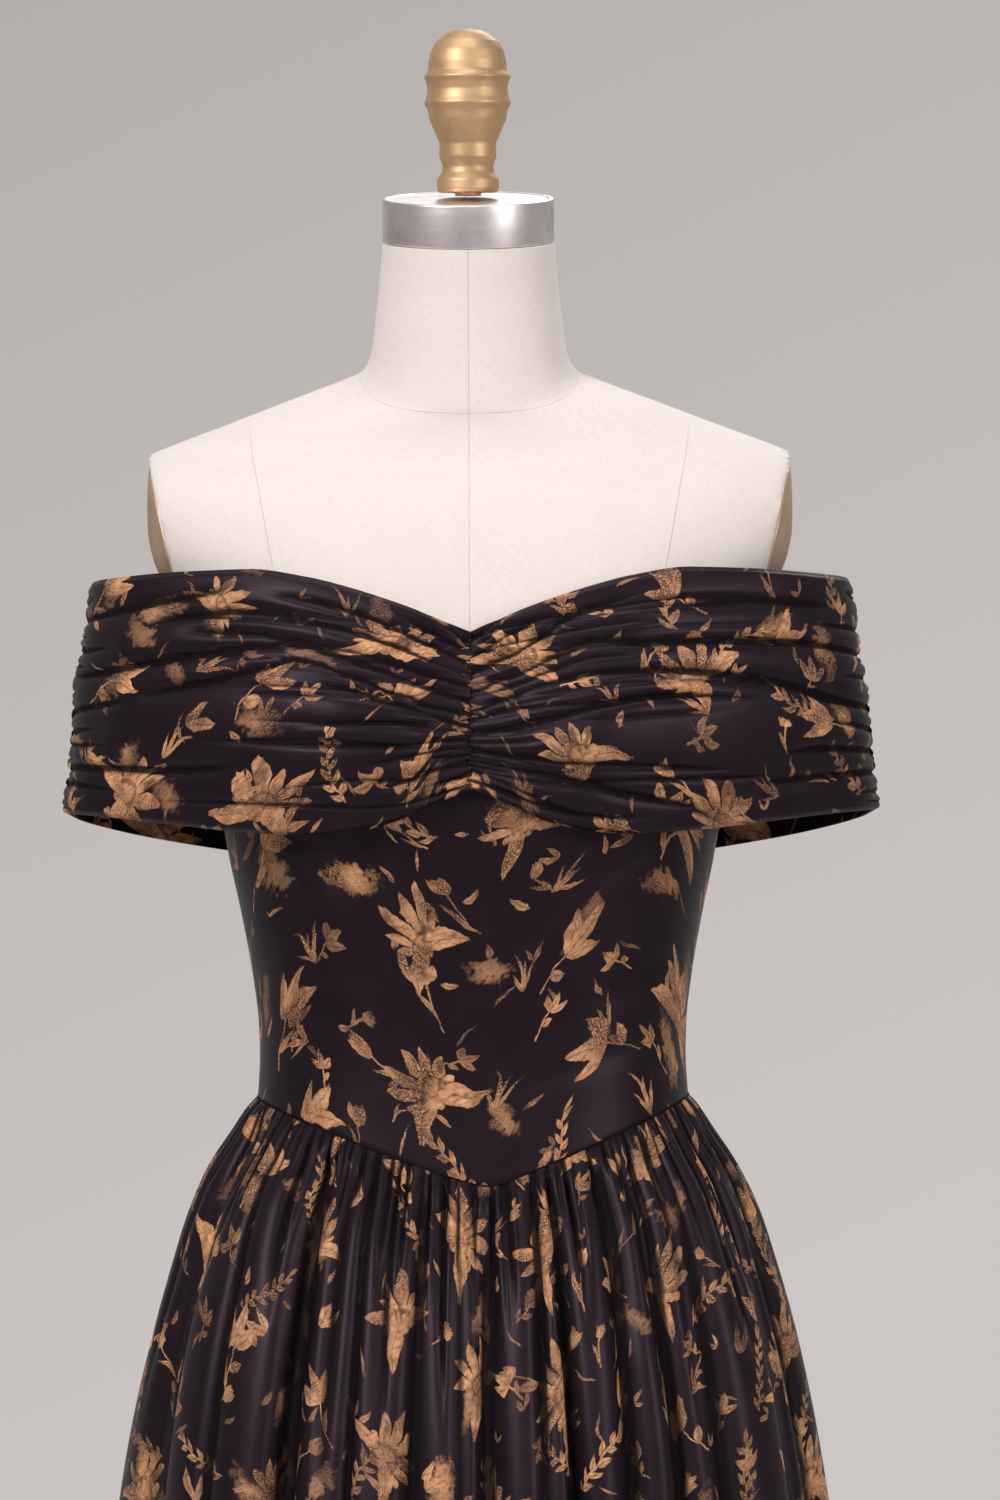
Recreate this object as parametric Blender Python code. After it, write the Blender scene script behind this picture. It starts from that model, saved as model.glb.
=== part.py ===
"""Off-shoulder dress on a limbless dress form.

The dress has a ruched band that runs round the upper arms, a fitted bodice with a pointed basque
waist, and a gathered skirt that ends just above the floor. The form inside it stands on a pole and
a round base. Units are metres, +Z is up, the front faces -Y, and the origin is on the floor under
the middle of the base.
"""

import math

import bmesh
import bpy
import numpy as np

SEAM_GAP = 0.0003
WAIST_GAP = 0.0005
TOP_OF_BASE = 0.018
POLE_RADIUS = 0.016
BASE_RADIUS = 0.200

# Form: a level is the height of a section at the form's side. The leans tip its front half down
# and its back half up.
FORM_COLUMNS = ("level", "half_width", "front", "back", "front_lean", "back_lean")
FORM_SECTIONS = (
    (0.790, 0.1500, 0.1060, 0.1180, 0.00, 0.00),
    (0.800, 0.1560, 0.1090, 0.1230, 0.00, 0.00),
    (0.860, 0.1630, 0.1115, 0.1280, 0.00, 0.00),
    (0.915, 0.1580, 0.1100, 0.1230, 0.00, 0.00),
    (0.970, 0.1460, 0.1045, 0.1110, 0.00, 0.00),
    (1.020, 0.1330, 0.0985, 0.0970, 0.00, 0.00),
    (1.062, 0.1275, 0.0955, 0.0880, 0.00, 0.00),
    (1.086, 0.1262, 0.0950, 0.0860, 0.00, 0.00),
    (1.106, 0.1268, 0.0958, 0.0855, 0.00, 0.00),
    (1.131, 0.1297, 0.0980, 0.0865, 0.00, 0.00),
    (1.155, 0.1337, 0.1005, 0.0890, 0.00, 0.00),
    (1.177, 0.1380, 0.1030, 0.0920, 0.00, 0.00),
    (1.204, 0.1438, 0.1055, 0.0950, 0.00, 0.00),
    (1.240, 0.1500, 0.1080, 0.0980, 0.00, 0.00),
    (1.290, 0.1555, 0.1100, 0.1000, 0.00, 0.00),
    (1.325, 0.1600, 0.1085, 0.1000, 0.00, 0.00),
    (1.345, 0.1730, 0.1060, 0.0995, 0.00, 0.00),
    (1.370, 0.1940, 0.1010, 0.0985, 0.00, 0.00),
    (1.400, 0.2120, 0.0920, 0.0950, 0.02, 0.00),
    (1.425, 0.2200, 0.0800, 0.0880, 0.06, 0.02),
    (1.440, 0.2160, 0.0705, 0.0820, 0.10, 0.04),
    (1.4505, 0.1985, 0.0648, 0.0768, 0.14, 0.06),
    (1.4565, 0.1847, 0.0620, 0.0740, 0.18, 0.07),
    (1.4700, 0.1488, 0.0578, 0.0692, 0.25, 0.09),
    (1.4850, 0.1097, 0.0553, 0.0660, 0.34, 0.11),
    (1.4950, 0.0828, 0.0548, 0.0640, 0.41, 0.13),
    (1.5018, 0.0660, 0.0548, 0.0620, 0.45, 0.15),
    (1.5120, 0.0602, 0.0530, 0.0592, 0.40, 0.16),
    (1.5350, 0.0570, 0.0510, 0.0565, 0.32, 0.17),
    (1.5600, 0.0543, 0.0500, 0.0545, 0.24, 0.18),
    (1.5813, 0.0526, 0.0505, 0.0535, 0.18, 0.18),
)
SECTION_ROUNDNESS = 2.35
FORM_POINTS = 32
BUST_APEX_X = 0.083
BUST_APEX_Z = 1.288
BUST_HEIGHT = 0.026
BUST_SPREAD_X = 0.046
BUST_SPREAD_UP = 0.050
BUST_SPREAD_DOWN = 0.036

# The armhole is a plane that leans in towards the waist, closed by a domed oval plate.
SHOULDER_TIP_X = 0.195
SHOULDER_TIP_Z = 1.449
ARMHOLE_SLOPE = 0.23
PLATE_MIDDLE_Z = 1.394
PLATE_HALF_HEIGHT = 0.050
PLATE_HALF_DEPTH = 0.042
PLATE_RIM = 0.0015
# Each row is a share of the plate's half size and the height there over the flat armhole.
PLATE_PROFILE = (
    (1.00, 0.0000),
    (1.00, PLATE_RIM),
    (0.86, 0.0038),
    (0.62, 0.0071),
    (0.34, 0.0104),
    (0.12, 0.0121),
)

NECK_TILT = math.atan(0.18)
CAP_RADIUS = 0.0524
CAP_HEIGHT = 0.0263
CAP_EDGE = 0.0012
FINIAL_TILT = math.radians(3.5)
FINIAL_LIFT = 0.0011
# Each row is a radius and its height above the finial's foot.
FINIAL_PROFILE = (
    (0.0180, 0.0000),
    (0.0190, 0.0020),
    (0.0190, 0.0080),
    (0.0160, 0.0120),
    (0.0154, 0.0156),
    (0.0168, 0.0200),
    (0.0174, 0.0212),
    (0.0173, 0.0300),
    (0.0206, 0.0376),
    (0.0235, 0.0444),
    (0.0245, 0.0503),
    (0.0266, 0.0540),
    (0.0252, 0.0575),
    (0.0244, 0.0625),
    (0.0252, 0.0670),
    (0.0266, 0.0702),
    (0.0240, 0.0741),
    (0.0237, 0.0800),
    (0.0220, 0.0867),
    (0.0188, 0.0919),
    (0.0134, 0.0961),
    (0.0085, 0.0983),
    (0.0030, 0.0990),
)
STUD_RADIUS = 0.0080

# Bodice
BODICE_EASE = 0.0022
BODICE_WALL = 0.0015
WAIST_SIDE_Z = 1.0605
WAIST_POINT_Z = 1.0118
WAIST_POINT_X = 0.008
WAIST_BACK_DIP = 0.012
WAIST_POINT_ROUNDING = 0.06
NECK_POINT_Z = 1.3350
NECK_PEAK_Z = 1.3640
NECK_PEAK_ANGLE = math.radians(42)
UNDERARM_Z = 1.3230
BODICE_BACK_Z = 1.3420

# Zip: it lies between the two back pieces, from the bodice's top edge down into the skirt.
ZIP_WIDTH = 0.0050
ZIP_THICKNESS = 0.0014
SLIDER_LENGTH = 0.009
SLIDER_EXTRA = 0.0014
HALF_ZIP_OPENING = ZIP_WIDTH / 2 + SEAM_GAP
ZIP_EASING = 0.014
ZIP_FOOT = 0.72

# Skirt
HEM_Z = 0.015
SKIRT_WALL = 0.0016
MAIN_FOLDS = 44
GATHERS = 88
POINTS_PER_WAVE = 4
GATHER_ROWS = (0.0, 0.014, 0.042)
ZIP_ROW = 0.110
FOLD_ROWS = (ZIP_ROW, 0.240, 0.560, 1.045)
FLARE_COLUMNS = ("below_waist", "flare")
FLARE = (
    (0.0000, 0.0010),
    (0.0085, 0.0095),
    (0.0226, 0.0188),
    (0.0428, 0.0305),
    (0.0709, 0.0428),
    (0.1027, 0.0532),
    (0.1381, 0.0635),
    (0.1747, 0.0722),
    (0.2181, 0.0804),
    (0.2474, 0.0854),
    (0.5000, 0.1260),
    (0.8000, 0.1730),
    (1.0450, 0.2130),
)
FOLD_COLUMNS = ("below_waist", "gather_depth", "fold_depth")
FOLDS = (
    (0.000, 0.0004, 0.0002),
    (0.012, 0.0016, 0.0012),
    (0.045, 0.0016, 0.0030),
    (0.110, 0.0006, 0.0055),
    (0.240, 0.0000, 0.0080),
    (0.430, 0.0000, 0.0105),
    (0.700, 0.0000, 0.0135),
    (1.045, 0.0000, 0.0160),
)

# Band: each station gives three points of its outer face before ruching, at its top edge, its
# middle and its lower edge, as x, y, z each, for the wearer's left half. The other half is the
# mirror image.
BAND_STATIONS = (
    (0.0000, -0.1190, 1.3399, 0.0000, -0.1290, 1.2940, 0.0000, -0.1240, 1.2484),
    (0.0200, -0.1190, 1.3480, 0.0200, -0.1310, 1.2940, 0.0200, -0.1250, 1.2410),
    (0.0450, -0.1180, 1.3573, 0.0460, -0.1360, 1.2945, 0.0460, -0.1260, 1.2295),
    (0.0700, -0.1130, 1.3655, 0.0710, -0.1375, 1.2955, 0.0700, -0.1240, 1.2240),
    (0.0960, -0.1080, 1.3723, 0.0970, -0.1320, 1.2970, 0.0950, -0.1165, 1.2222),
    (0.1310, -0.0960, 1.3776, 0.1350, -0.1140, 1.2990, 0.1350, -0.0990, 1.2240),
    (0.1700, -0.0770, 1.3770, 0.1780, -0.0880, 1.3010, 0.1790, -0.0740, 1.2285),
    (0.2055, -0.0510, 1.3750, 0.2165, -0.0560, 1.3020, 0.2180, -0.0470, 1.2326),
    (0.2245, -0.0220, 1.3736, 0.2365, -0.0250, 1.3025, 0.2415, -0.0210, 1.2345),
    (0.2295, 0.0000, 1.3731, 0.2418, 0.0000, 1.3030, 0.2480, 0.0000, 1.2351),
    (0.2235, 0.0260, 1.3725, 0.2355, 0.0280, 1.3010, 0.2410, 0.0250, 1.2303),
    (0.2020, 0.0540, 1.3712, 0.2120, 0.0590, 1.2980, 0.2160, 0.0540, 1.2224),
    (0.1640, 0.0820, 1.3685, 0.1710, 0.0890, 1.2930, 0.1720, 0.0840, 1.2132),
    (0.1150, 0.1010, 1.3650, 0.1190, 0.1080, 1.2875, 0.1190, 0.1050, 1.2054),
    (0.0580, 0.1110, 1.3615, 0.0600, 0.1150, 1.2840, 0.0600, 0.1130, 1.2010),
    (0.0000, 0.1130, 1.3600, 0.0000, 0.1160, 1.2825, 0.0000, 0.1140, 1.1995),
)
ARM_STATION = 9
BAND_WALL = 0.0020
BAND_RUCHES = 14
BAND_FRONT_STEPS = 11
BAND_BACK_STEPS = 7
# Ruch depth along a front half, from the centre gather (0) to the arm seam (1).
RUCH_COLUMNS = ("along", "top_depth", "bust_depth", "low_depth")
RUCHES_FRONT = (
    (0.00, 0.0012, 0.0016, 0.0016),
    (0.08, 0.0026, 0.0028, 0.0028),
    (0.25, 0.0026, 0.0022, 0.0024),
    (0.45, 0.0024, 0.0004, 0.0016),
    (0.70, 0.0022, 0.0006, 0.0014),
    (0.90, 0.0022, 0.0020, 0.0020),
    (1.00, 0.0012, 0.0012, 0.0012),
)
RUCHES_BACK = (
    (0.00, 0.0012, 0.0012, 0.0012),
    (0.12, 0.0022, 0.0022, 0.0022),
    (0.50, 0.0018, 0.0010, 0.0014),
    (1.00, 0.0014, 0.0010, 0.0012),
)

PAINTS = {
    "cloth": ((0.022, 0.018, 0.026), 0.45, 0.0),
    "linen": ((0.800, 0.720, 0.650), 0.85, 0.0),
    "gold": ((0.500, 0.330, 0.130), 0.38, 0.8),
    "steel": ((0.560, 0.550, 0.540), 0.28, 1.0),
}


def clear_scene():
    for thing in list(bpy.data.objects):
        bpy.data.objects.remove(thing)


def paint(name):
    """The material of that name, made once."""
    material = bpy.data.materials.get(name)
    if material is None:
        colour, roughness, metallic = PAINTS[name]
        material = bpy.data.materials.new(name)
        material.use_nodes = True
        shader = material.node_tree.nodes["Principled BSDF"]
        shader.inputs["Base Color"].default_value = (*colour, 1.0)
        shader.inputs["Roughness"].default_value = roughness
        shader.inputs["Metallic"].default_value = metallic
    return material


def add_piece(name, points, faces, paint_name):
    """A closed mesh as a named object, its faces turned to point out."""
    mesh = bpy.data.meshes.new(name)
    mesh.from_pydata([tuple(map(float, point)) for point in points], [], faces)
    edit = bmesh.new()
    edit.from_mesh(mesh)
    bmesh.ops.recalc_face_normals(edit, faces=edit.faces)
    edit.to_mesh(mesh)
    edit.free()
    mesh.shade_smooth()
    mesh.set_sharp_from_angle(angle=math.radians(50))
    mesh.materials.append(paint(paint_name))
    piece = bpy.data.objects.new(name, mesh)
    bpy.context.scene.collection.objects.link(piece)
    return piece


def read_table(rows, columns, column, at):
    """A table's column as a monotone cubic of its first column, read at the given values."""
    table = np.array(rows, float)
    x, y = table[:, 0], table[:, columns.index(column)]
    steps = np.diff(x)
    rises = np.diff(y) / steps
    slopes = np.zeros_like(y)
    slopes[0], slopes[-1] = rises[0], rises[-1]
    for i in range(1, len(x) - 1):
        if rises[i - 1] * rises[i] > 0:
            before, after = 2 * steps[i] + steps[i - 1], steps[i] + 2 * steps[i - 1]
            slopes[i] = (before + after) / (before / rises[i - 1] + after / rises[i])
    at = np.clip(np.asarray(at, float), x[0], x[-1])
    i = np.clip(np.searchsorted(x, at, side="right") - 1, 0, len(x) - 2)
    h = steps[i]
    t = (at - x[i]) / h
    return (
        y[i] * (1 + 2 * t) * (1 - t) ** 2
        + slopes[i] * h * t * (1 - t) ** 2
        + y[i + 1] * t**2 * (3 - 2 * t)
        + slopes[i + 1] * h * t**2 * (t - 1)
    )


def signed_power(value, power):
    return np.sign(value) * np.abs(value) ** power


def bust_at(x, z):
    """How far the two soft bust forms stand out of the plain section."""
    spread = np.where(z > BUST_APEX_Z, BUST_SPREAD_UP, BUST_SPREAD_DOWN)
    rise = ((z - BUST_APEX_Z) / spread) ** 2
    left = ((x - BUST_APEX_X) / BUST_SPREAD_X) ** 2
    right = ((x + BUST_APEX_X) / BUST_SPREAD_X) ** 2
    return BUST_HEIGHT * (np.exp(-(left + rise) / 2) + np.exp(-(right + rise) / 2))


def body_point(angle, level, out=0.0):
    """A point of the form's surface moved out level by `out`. The angle is 0 at the front and
    turns towards +X; all the arguments may be arrays."""
    angle, level = np.broadcast_arrays(np.asarray(angle, float), np.asarray(level, float))
    half_width, front, back, front_lean, back_lean = (
        read_table(FORM_SECTIONS, FORM_COLUMNS, column, level) for column in FORM_COLUMNS[1:]
    )
    forward = np.cos(angle)
    depth = np.where(forward > 0, front, back) + out
    x = (half_width + out) * signed_power(np.sin(angle), 2 / SECTION_ROUNDNESS)
    y = -depth * signed_power(forward, 2 / SECTION_ROUNDNESS)
    y = y - bust_at(x, level) * np.clip(forward * 3, 0, 1)
    lean = np.where(forward > 0, front_lean, back_lean)
    return np.stack([x, y, level + lean * y], axis=-1)


def armhole_x(z):
    return SHOULDER_TIP_X + (z - SHOULDER_TIP_Z) * ARMHOLE_SLOPE


def grid_faces(rows, columns, first=0, closed=False):
    """Quads between rows of points that are numbered row by row from `first`."""
    faces = []
    for row in range(rows - 1):
        for column in range(columns if closed else columns - 1):
            beside = (column + 1) % columns
            a = first + row * columns
            b = a + columns
            faces.append((a + column, a + beside, b + beside, b + column))
    return faces


def solid_of_rings(name, rings, paint_name):
    """A solid skin over closed rings of points, flat at both ends."""
    rings = np.asarray(rings)
    count, around = rings.shape[:2]
    faces = grid_faces(count, around, closed=True)
    faces.append(tuple(range(around)))
    faces.append(tuple(range((count - 1) * around, count * around)))
    return add_piece(name, rings.reshape(-1, 3), faces, paint_name)


def stitch(faces, upper, lower):
    """Faces between two rows of point numbers. The upper row has as many spans as the lower one,
    or twice as many."""
    if len(upper) == len(lower):
        for i in range(len(lower) - 1):
            faces.append((upper[i], upper[i + 1], lower[i + 1], lower[i]))
        return
    for i in range(len(lower) - 1):
        a, b, c = upper[2 * i : 2 * i + 3]
        faces.append((a, b, lower[i]))
        faces.append((b, lower[i + 1], lower[i]))
        faces.append((b, c, lower[i + 1]))


def wall(name, outer_rows, inner_rows, paint_name):
    """A closed wall between an outer and an inner sheet, each a list of rows of points."""
    points, numbers = [], []
    for sheet in (outer_rows, inner_rows):
        numbers.append([])
        for row in sheet:
            numbers[-1].append(list(range(len(points), len(points) + len(row))))
            points.extend(row)
    faces = []
    for sheet in numbers:
        for upper, lower in zip(sheet, sheet[1:]):
            stitch(faces, upper, lower)
    outer, inner = numbers
    stitch(faces, outer[0], inner[0])
    stitch(faces, outer[-1], inner[-1])
    for end in (0, -1):
        stitch(faces, [row[end] for row in outer], [row[end] for row in inner])
    return add_piece(name, points, faces, paint_name)


def turned(name, profile, around, place, tilt, paint_name):
    """A solid of revolution: (radius, height) rows about an axis through `place`, tipped forward."""
    angles = np.arange(around) * 2 * math.pi / around
    rings = []
    for radius, height in profile:
        x, y = radius * np.sin(angles), -radius * np.cos(angles)
        across = y * math.cos(tilt) - height * math.sin(tilt)
        up = y * math.sin(tilt) + height * math.cos(tilt)
        rings.append(np.stack([x + place[0], across + place[1], up + place[2]], axis=-1))
    return solid_of_rings(name, rings, paint_name)


def make_torso():
    angles = np.arange(FORM_POINTS) * 2 * math.pi / FORM_POINTS
    rings = []
    for row in FORM_SECTIONS:
        ring = body_point(angles, row[0])
        if row[0] > BUST_APEX_Z:
            limit = armhole_x(ring[:, 2])
            ring[:, 0] = np.clip(ring[:, 0], -limit, limit)
        rings.append(ring)
    solid_of_rings("form_torso", rings, "linen")


def neck_top():
    """The middle of the neck's upper face."""
    last = FORM_SECTIONS[-1]
    middle_y = (last[3] - last[2]) / 2
    return middle_y, last[0] + last[4] * middle_y


def make_neck_cap():
    y, z = neck_top()
    profile = (
        (CAP_RADIUS - CAP_EDGE, 0.0),
        (CAP_RADIUS, CAP_EDGE),
        (CAP_RADIUS, CAP_HEIGHT - CAP_EDGE),
        (CAP_RADIUS - CAP_EDGE, CAP_HEIGHT),
    )
    turned("neck_cap", profile, 40, (0, y, z + SEAM_GAP), NECK_TILT, "steel")


def make_finial():
    """The finial stands more upright than the cap, on a short stud, with its foot a little way
    above the cap."""
    y, z = neck_top()
    up = CAP_HEIGHT + 2 * SEAM_GAP
    y, z = y - up * math.sin(NECK_TILT), z + up * math.cos(NECK_TILT)
    foot = FINIAL_PROFILE[0][0] * math.tan(NECK_TILT - FINIAL_TILT) + FINIAL_LIFT
    stud_foot = STUD_RADIUS * math.tan(NECK_TILT - FINIAL_TILT) + SEAM_GAP
    profile = [(STUD_RADIUS, stud_foot - foot), (STUD_RADIUS, 0.0), *FINIAL_PROFILE]
    place = (0, y - foot * math.sin(FINIAL_TILT), z + foot * math.cos(FINIAL_TILT))
    turned("finial", profile, 20, place, FINIAL_TILT, "gold")


def make_arm_plate(name, side):
    """A domed oval plate on the flat armhole."""
    around = 28
    angles = np.arange(around) * 2 * math.pi / around
    rings = []
    for share, height in PLATE_PROFILE:
        z =PLATE_MIDDLE_Z + share * PLATE_HALF_HEIGHT * np.sin(angles)
        y = share * PLATE_HALF_DEPTH * np.cos(angles)
        x = side * (armhole_x(z) + SEAM_GAP + height)
        rings.append(np.stack([x, y, z], axis=-1))
    solid_of_rings(name, rings, "gold")


def make_stand():
    base = (
        (BASE_RADIUS, 0.0),
        (BASE_RADIUS, TOP_OF_BASE * 0.6),
        (BASE_RADIUS - 0.012, TOP_OF_BASE),
    )
    turned("stand_base", base, 40, (0, 0, 0), 0.0, "steel")
    torso_foot = FORM_SECTIONS[0][0]
    pole = (
        (POLE_RADIUS, TOP_OF_BASE + SEAM_GAP),
        (POLE_RADIUS, torso_foot - SEAM_GAP),
    )
    turned("stand_pole", pole, 24, (0, 0, 0), 0.0, "steel")


def waist_z(angle):
    """The height of the waist seam: a rounded point at the front and a shallow dip at the back."""
    half_width = read_table(FORM_SECTIONS, FORM_COLUMNS, "half_width", WAIST_SIDE_Z)
    x = half_width * signed_power(np.sin(angle), 2 / SECTION_ROUNDNESS)
    off = x - WAIST_POINT_X
    share = np.abs(off) / np.where(off > 0, half_width - WAIST_POINT_X, half_width + WAIST_POINT_X)
    r = WAIST_POINT_ROUNDING
    share = (np.sqrt(share**2 + r**2) - r) / (math.sqrt(1 + r**2) - r)
    front = WAIST_POINT_Z + (WAIST_SIDE_Z - WAIST_POINT_Z) * share
    back = WAIST_SIDE_Z - WAIST_BACK_DIP * np.cos(angle) ** 2
    return np.where(np.cos(angle) > 0, front, back)


def bodice_top_z(angle):
    """The bodice's upper edge, hidden under the band: sweetheart in front, level at the back."""
    turn = np.abs((angle + math.pi) % (2 * math.pi) - math.pi)
    quarter = math.pi / 2
    rows = (
        (0.0, NECK_POINT_Z),
        (NECK_PEAK_ANGLE * 0.5, (NECK_POINT_Z + NECK_PEAK_Z) / 2),
        (NECK_PEAK_ANGLE, NECK_PEAK_Z),
        (quarter, UNDERARM_Z),
        (math.radians(125), BODICE_BACK_Z),
        (math.pi, BODICE_BACK_Z),
    )
    return read_table(rows, ("turn", "z"), "z", turn)


def bodice_point(angle, share, out):
    """A point of the bodice, from its top edge (0) to the waist seam (1)."""
    top, foot = bodice_top_z(angle), waist_z(angle) + WAIST_GAP / 2
    return body_point(angle, top + (foot - top) * share, out)


def make_bodice_panel(name, start, stop, columns, rows, zip_end=None):
    """One bodice panel between two seam angles, with a small gap at each seam."""
    trim = SEAM_GAP / 2 / 0.115
    angles = np.linspace(start + trim, stop - trim, columns + 1)
    shares = np.linspace(0, 1, rows + 1)
    sheets = []
    for out in (BODICE_EASE + BODICE_WALL, BODICE_EASE):
        sheet = [bodice_point(angles, share, out) for share in shares]
        if zip_end is not None:
            for row in sheet:
                row[zip_end][0] = math.copysign(HALF_ZIP_OPENING, row[columns // 2][0])
        sheets.append(sheet)
    return wall(name, *sheets, "cloth")


def make_zip(waist):
    """The zip as one strip down the centre back, with its slider as a step at the top and its foot
    narrowing to where the seam below it closes."""
    back = np.array([math.pi])
    middle = BODICE_EASE + BODICE_WALL / 2
    top = bodice_point(back, 0, middle)[0]
    slider_foot = top - np.array([0, 0, SLIDER_LENGTH])
    below_slider = slider_foot - np.array([0, 0, 0.001])
    half = ZIP_WIDTH / 2
    path = [(top, SLIDER_EXTRA, half), (slider_foot, SLIDER_EXTRA, half), (below_slider, 0.0, half)]
    path += [(bodice_point(back, share, middle)[0], 0.0, half) for share in np.linspace(0.06, 1, 9)]
    depths = (*GATHER_ROWS[1:], *FOLD_ROWS[:2])
    skirt = [skirt_row(np.zeros(1), below, waist, SKIRT_WALL / 2)[0] for below in depths]
    path += [(point, 0.0, half) for point in skirt[:-1]]
    foot = skirt[-2] + (skirt[-1] - skirt[-2]) * ZIP_FOOT
    opening = HALF_ZIP_OPENING * (1 - ZIP_FOOT) + SEAM_GAP / 2 * ZIP_FOOT
    path.append((foot, 0.0, opening - SEAM_GAP))
    sheets = [[], []]
    for (_, y, z), extra, half_width in path:
        for sheet, out in zip(sheets, (ZIP_THICKNESS / 2 + extra, -ZIP_THICKNESS / 2)):
            sheet.append([(-half_width, y + out, z), (half_width, y + out, z)])
    return wall("back_zip", *sheets, "cloth")


def skirt_waist():
    """The skirt's upper edge as closely spaced points, with the way out at each and the share of
    the girth up to it, once round from the back seam."""
    angles = np.linspace(-math.pi, math.pi, 2881)
    edge = body_point(angles, waist_z(angles), BODICE_EASE + BODICE_WALL)
    edge[:, 2] = waist_z(angles) - WAIST_GAP / 2
    along = np.gradient(edge[:, :2], axis=0)
    along /= np.linalg.norm(along, axis=1)[:, None]
    out = np.stack([along[:, 1], -along[:, 0]], axis=1)
    lengths = np.linalg.norm(np.diff(edge, axis=0), axis=1)
    girth = np.concatenate([[0], np.cumsum(lengths)])
    return edge, out, girth / girth[-1]


def unevenness(wave):
    """A depth for each fold that varies from one to the next, about 1 on average."""
    return 1 + 0.28 * np.sin(2.4 * wave) + 0.17 * np.sin(4.1 * wave + 1.0)


def fold_height(share, below):
    """How far gathers and folds stand off the flared outline, at that share of the girth and that
    depth below the seam. A fold's crest lies near the outline and its valley inside it."""
    gather = read_table(FOLDS, FOLD_COLUMNS, "gather_depth", below)
    fold = read_table(FOLDS, FOLD_COLUMNS, "fold_depth", below)
    turn = 2 * math.pi * share
    uneven = unevenness(np.floor(MAIN_FOLDS * share))
    main = -np.cos(MAIN_FOLDS * turn) * fold * uneven - fold
    return main - np.cos(GATHERS * turn) * gather


def skirt_row(shares, below, waist, out_by):
    """Points of the skirt at a depth below the seam; the hem is level."""
    edge, out, girth = waist
    at = np.stack([np.interp(shares, girth, edge[:, i]) for i in range(3)], axis=-1)
    way = np.stack([np.interp(shares, girth, out[:, i]) for i in range(2)], axis=-1)
    way /= np.linalg.norm(way, axis=1)[:, None]
    drop = at[:, 2] - HEM_Z
    depth = drop * below / FLARE[-1][0]
    depth = np.minimum(drop, np.where(below < 0.2, below, depth))
    flare = read_table(FLARE, FLARE_COLUMNS, "flare", depth)
    crest = fold_height(shares, depth)
    move = flare + crest - out_by
    return np.column_stack([at[:, :2] + way * move[:, None], at[:, 2] - depth])


def open_for_zip(rows, end):
    """Draws a back panel's end at the centre back aside for the zip, and sets it straight."""
    zip_rows = len(GATHER_ROWS) + 1
    for i, row in enumerate(rows):
        side = np.sign(row[:, 0].sum())
        if i < zip_rows:
            near = np.clip(1 - np.abs(row[:, 0]) / ZIP_EASING, 0, 1)
            row[:, 0] += side * near * HALF_ZIP_OPENING
            row[end][0] = side * HALF_ZIP_OPENING
        else:
            row[end][0] = side * SEAM_GAP / 2


def make_skirt_panel(name, start, stop, waist, zip_end=None):
    """A skirt panel over a stretch of the girth. Its ends fall on fold valleys."""
    spans = round((stop - start) * MAIN_FOLDS * POINTS_PER_WAVE)
    edge_trim = SEAM_GAP / 2 / 0.75
    fine = np.linspace(start + edge_trim, stop - edge_trim, 2 * spans + 1)
    coarse = fine[::2]
    sheets = []
    for out_by in (0.0, SKIRT_WALL):
        rows = [skirt_row(fine, below, waist, out_by) for below in GATHER_ROWS]
        rows += [skirt_row(coarse, below, waist, out_by) for below in FOLD_ROWS]
        if zip_end is not None:
            open_for_zip(rows, zip_end)
        sheets.append(rows)
    return wall(name, *sheets, "cloth")


def band_curves():
    """The band's top edge, middle and lower edge, each as points from the centre front through the
    arm seam to the centre back."""
    stations = np.array(BAND_STATIONS)
    steps = np.linalg.norm(np.diff(stations[:, 3:6], axis=0), axis=1)
    along = np.concatenate([[0], np.cumsum(steps)])
    arm = along[ARM_STATION]
    front = np.linspace(0, arm, BAND_FRONT_STEPS + 1)
    back = np.linspace(arm, along[-1], BAND_BACK_STEPS + 1)
    at = np.concatenate([front, back[1:]])
    read = [
        read_table(np.column_stack([along, column]), ("along", "value"), "value", at)
        for column in stations.T
    ]
    return np.stack(read, axis=-1).reshape(-1, 3, 3).transpose(1, 0, 2)


def ruch_height(along, down, table):
    """How far the ruching stands out of the band, from its top edge (down 0) to its lower edge."""
    top, bust, low = (read_table(table, RUCH_COLUMNS, column, along) for column in RUCH_COLUMNS[1:])
    depth = np.where(
        down < 0.6,
        top + (bust - top) * np.clip((down - 0.2) / 0.4, 0, 1),
        bust + (low - bust) * np.clip((down - 0.6) / 0.3, 0, 1),
    )
    wave = 0.5 - 0.5 * np.cos(2 * math.pi * BAND_RUCHES * down)
    return depth * wave * unevenness(np.floor(BAND_RUCHES * down))


def way_out(rows):
    """The outward direction at each point of the half band, level across its two ends."""
    mirror = np.array([-1, 1, 1])
    padded = np.concatenate([rows[:, 1:2] * mirror, rows, rows[:, -2:-1] * mirror], axis=1)
    along = np.gradient(padded, axis=1)[:, 1:-1]
    down = np.gradient(rows, axis=0)
    out = np.cross(down, along)
    return out / np.linalg.norm(out, axis=-1, keepdims=True)


def band_sheets():
    """The outer and the inner face of the wearer's left half of the band, in rows."""
    top, middle, low = band_curves()
    downs = np.linspace(0, 1, 2 * BAND_RUCHES + 1)[:, None, None]
    rows = top * (1 - downs) * (1 - 2 * downs)
    rows = rows + middle * 4 * downs * (1 - downs) + low * downs * (2 * downs - 1)
    out = way_out(rows)
    front = np.linspace(0, 1, BAND_FRONT_STEPS + 1)
    back = np.linspace(0, 1, BAND_BACK_STEPS + 1)[1:]
    height = np.array(
        [
            np.concatenate([ruch_height(front, d, RUCHES_FRONT), ruch_height(back, d, RUCHES_BACK)])
            for d in downs[:, 0, 0]
        ]
    )
    return rows + out * height[..., None], rows - out * BAND_WALL


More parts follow.
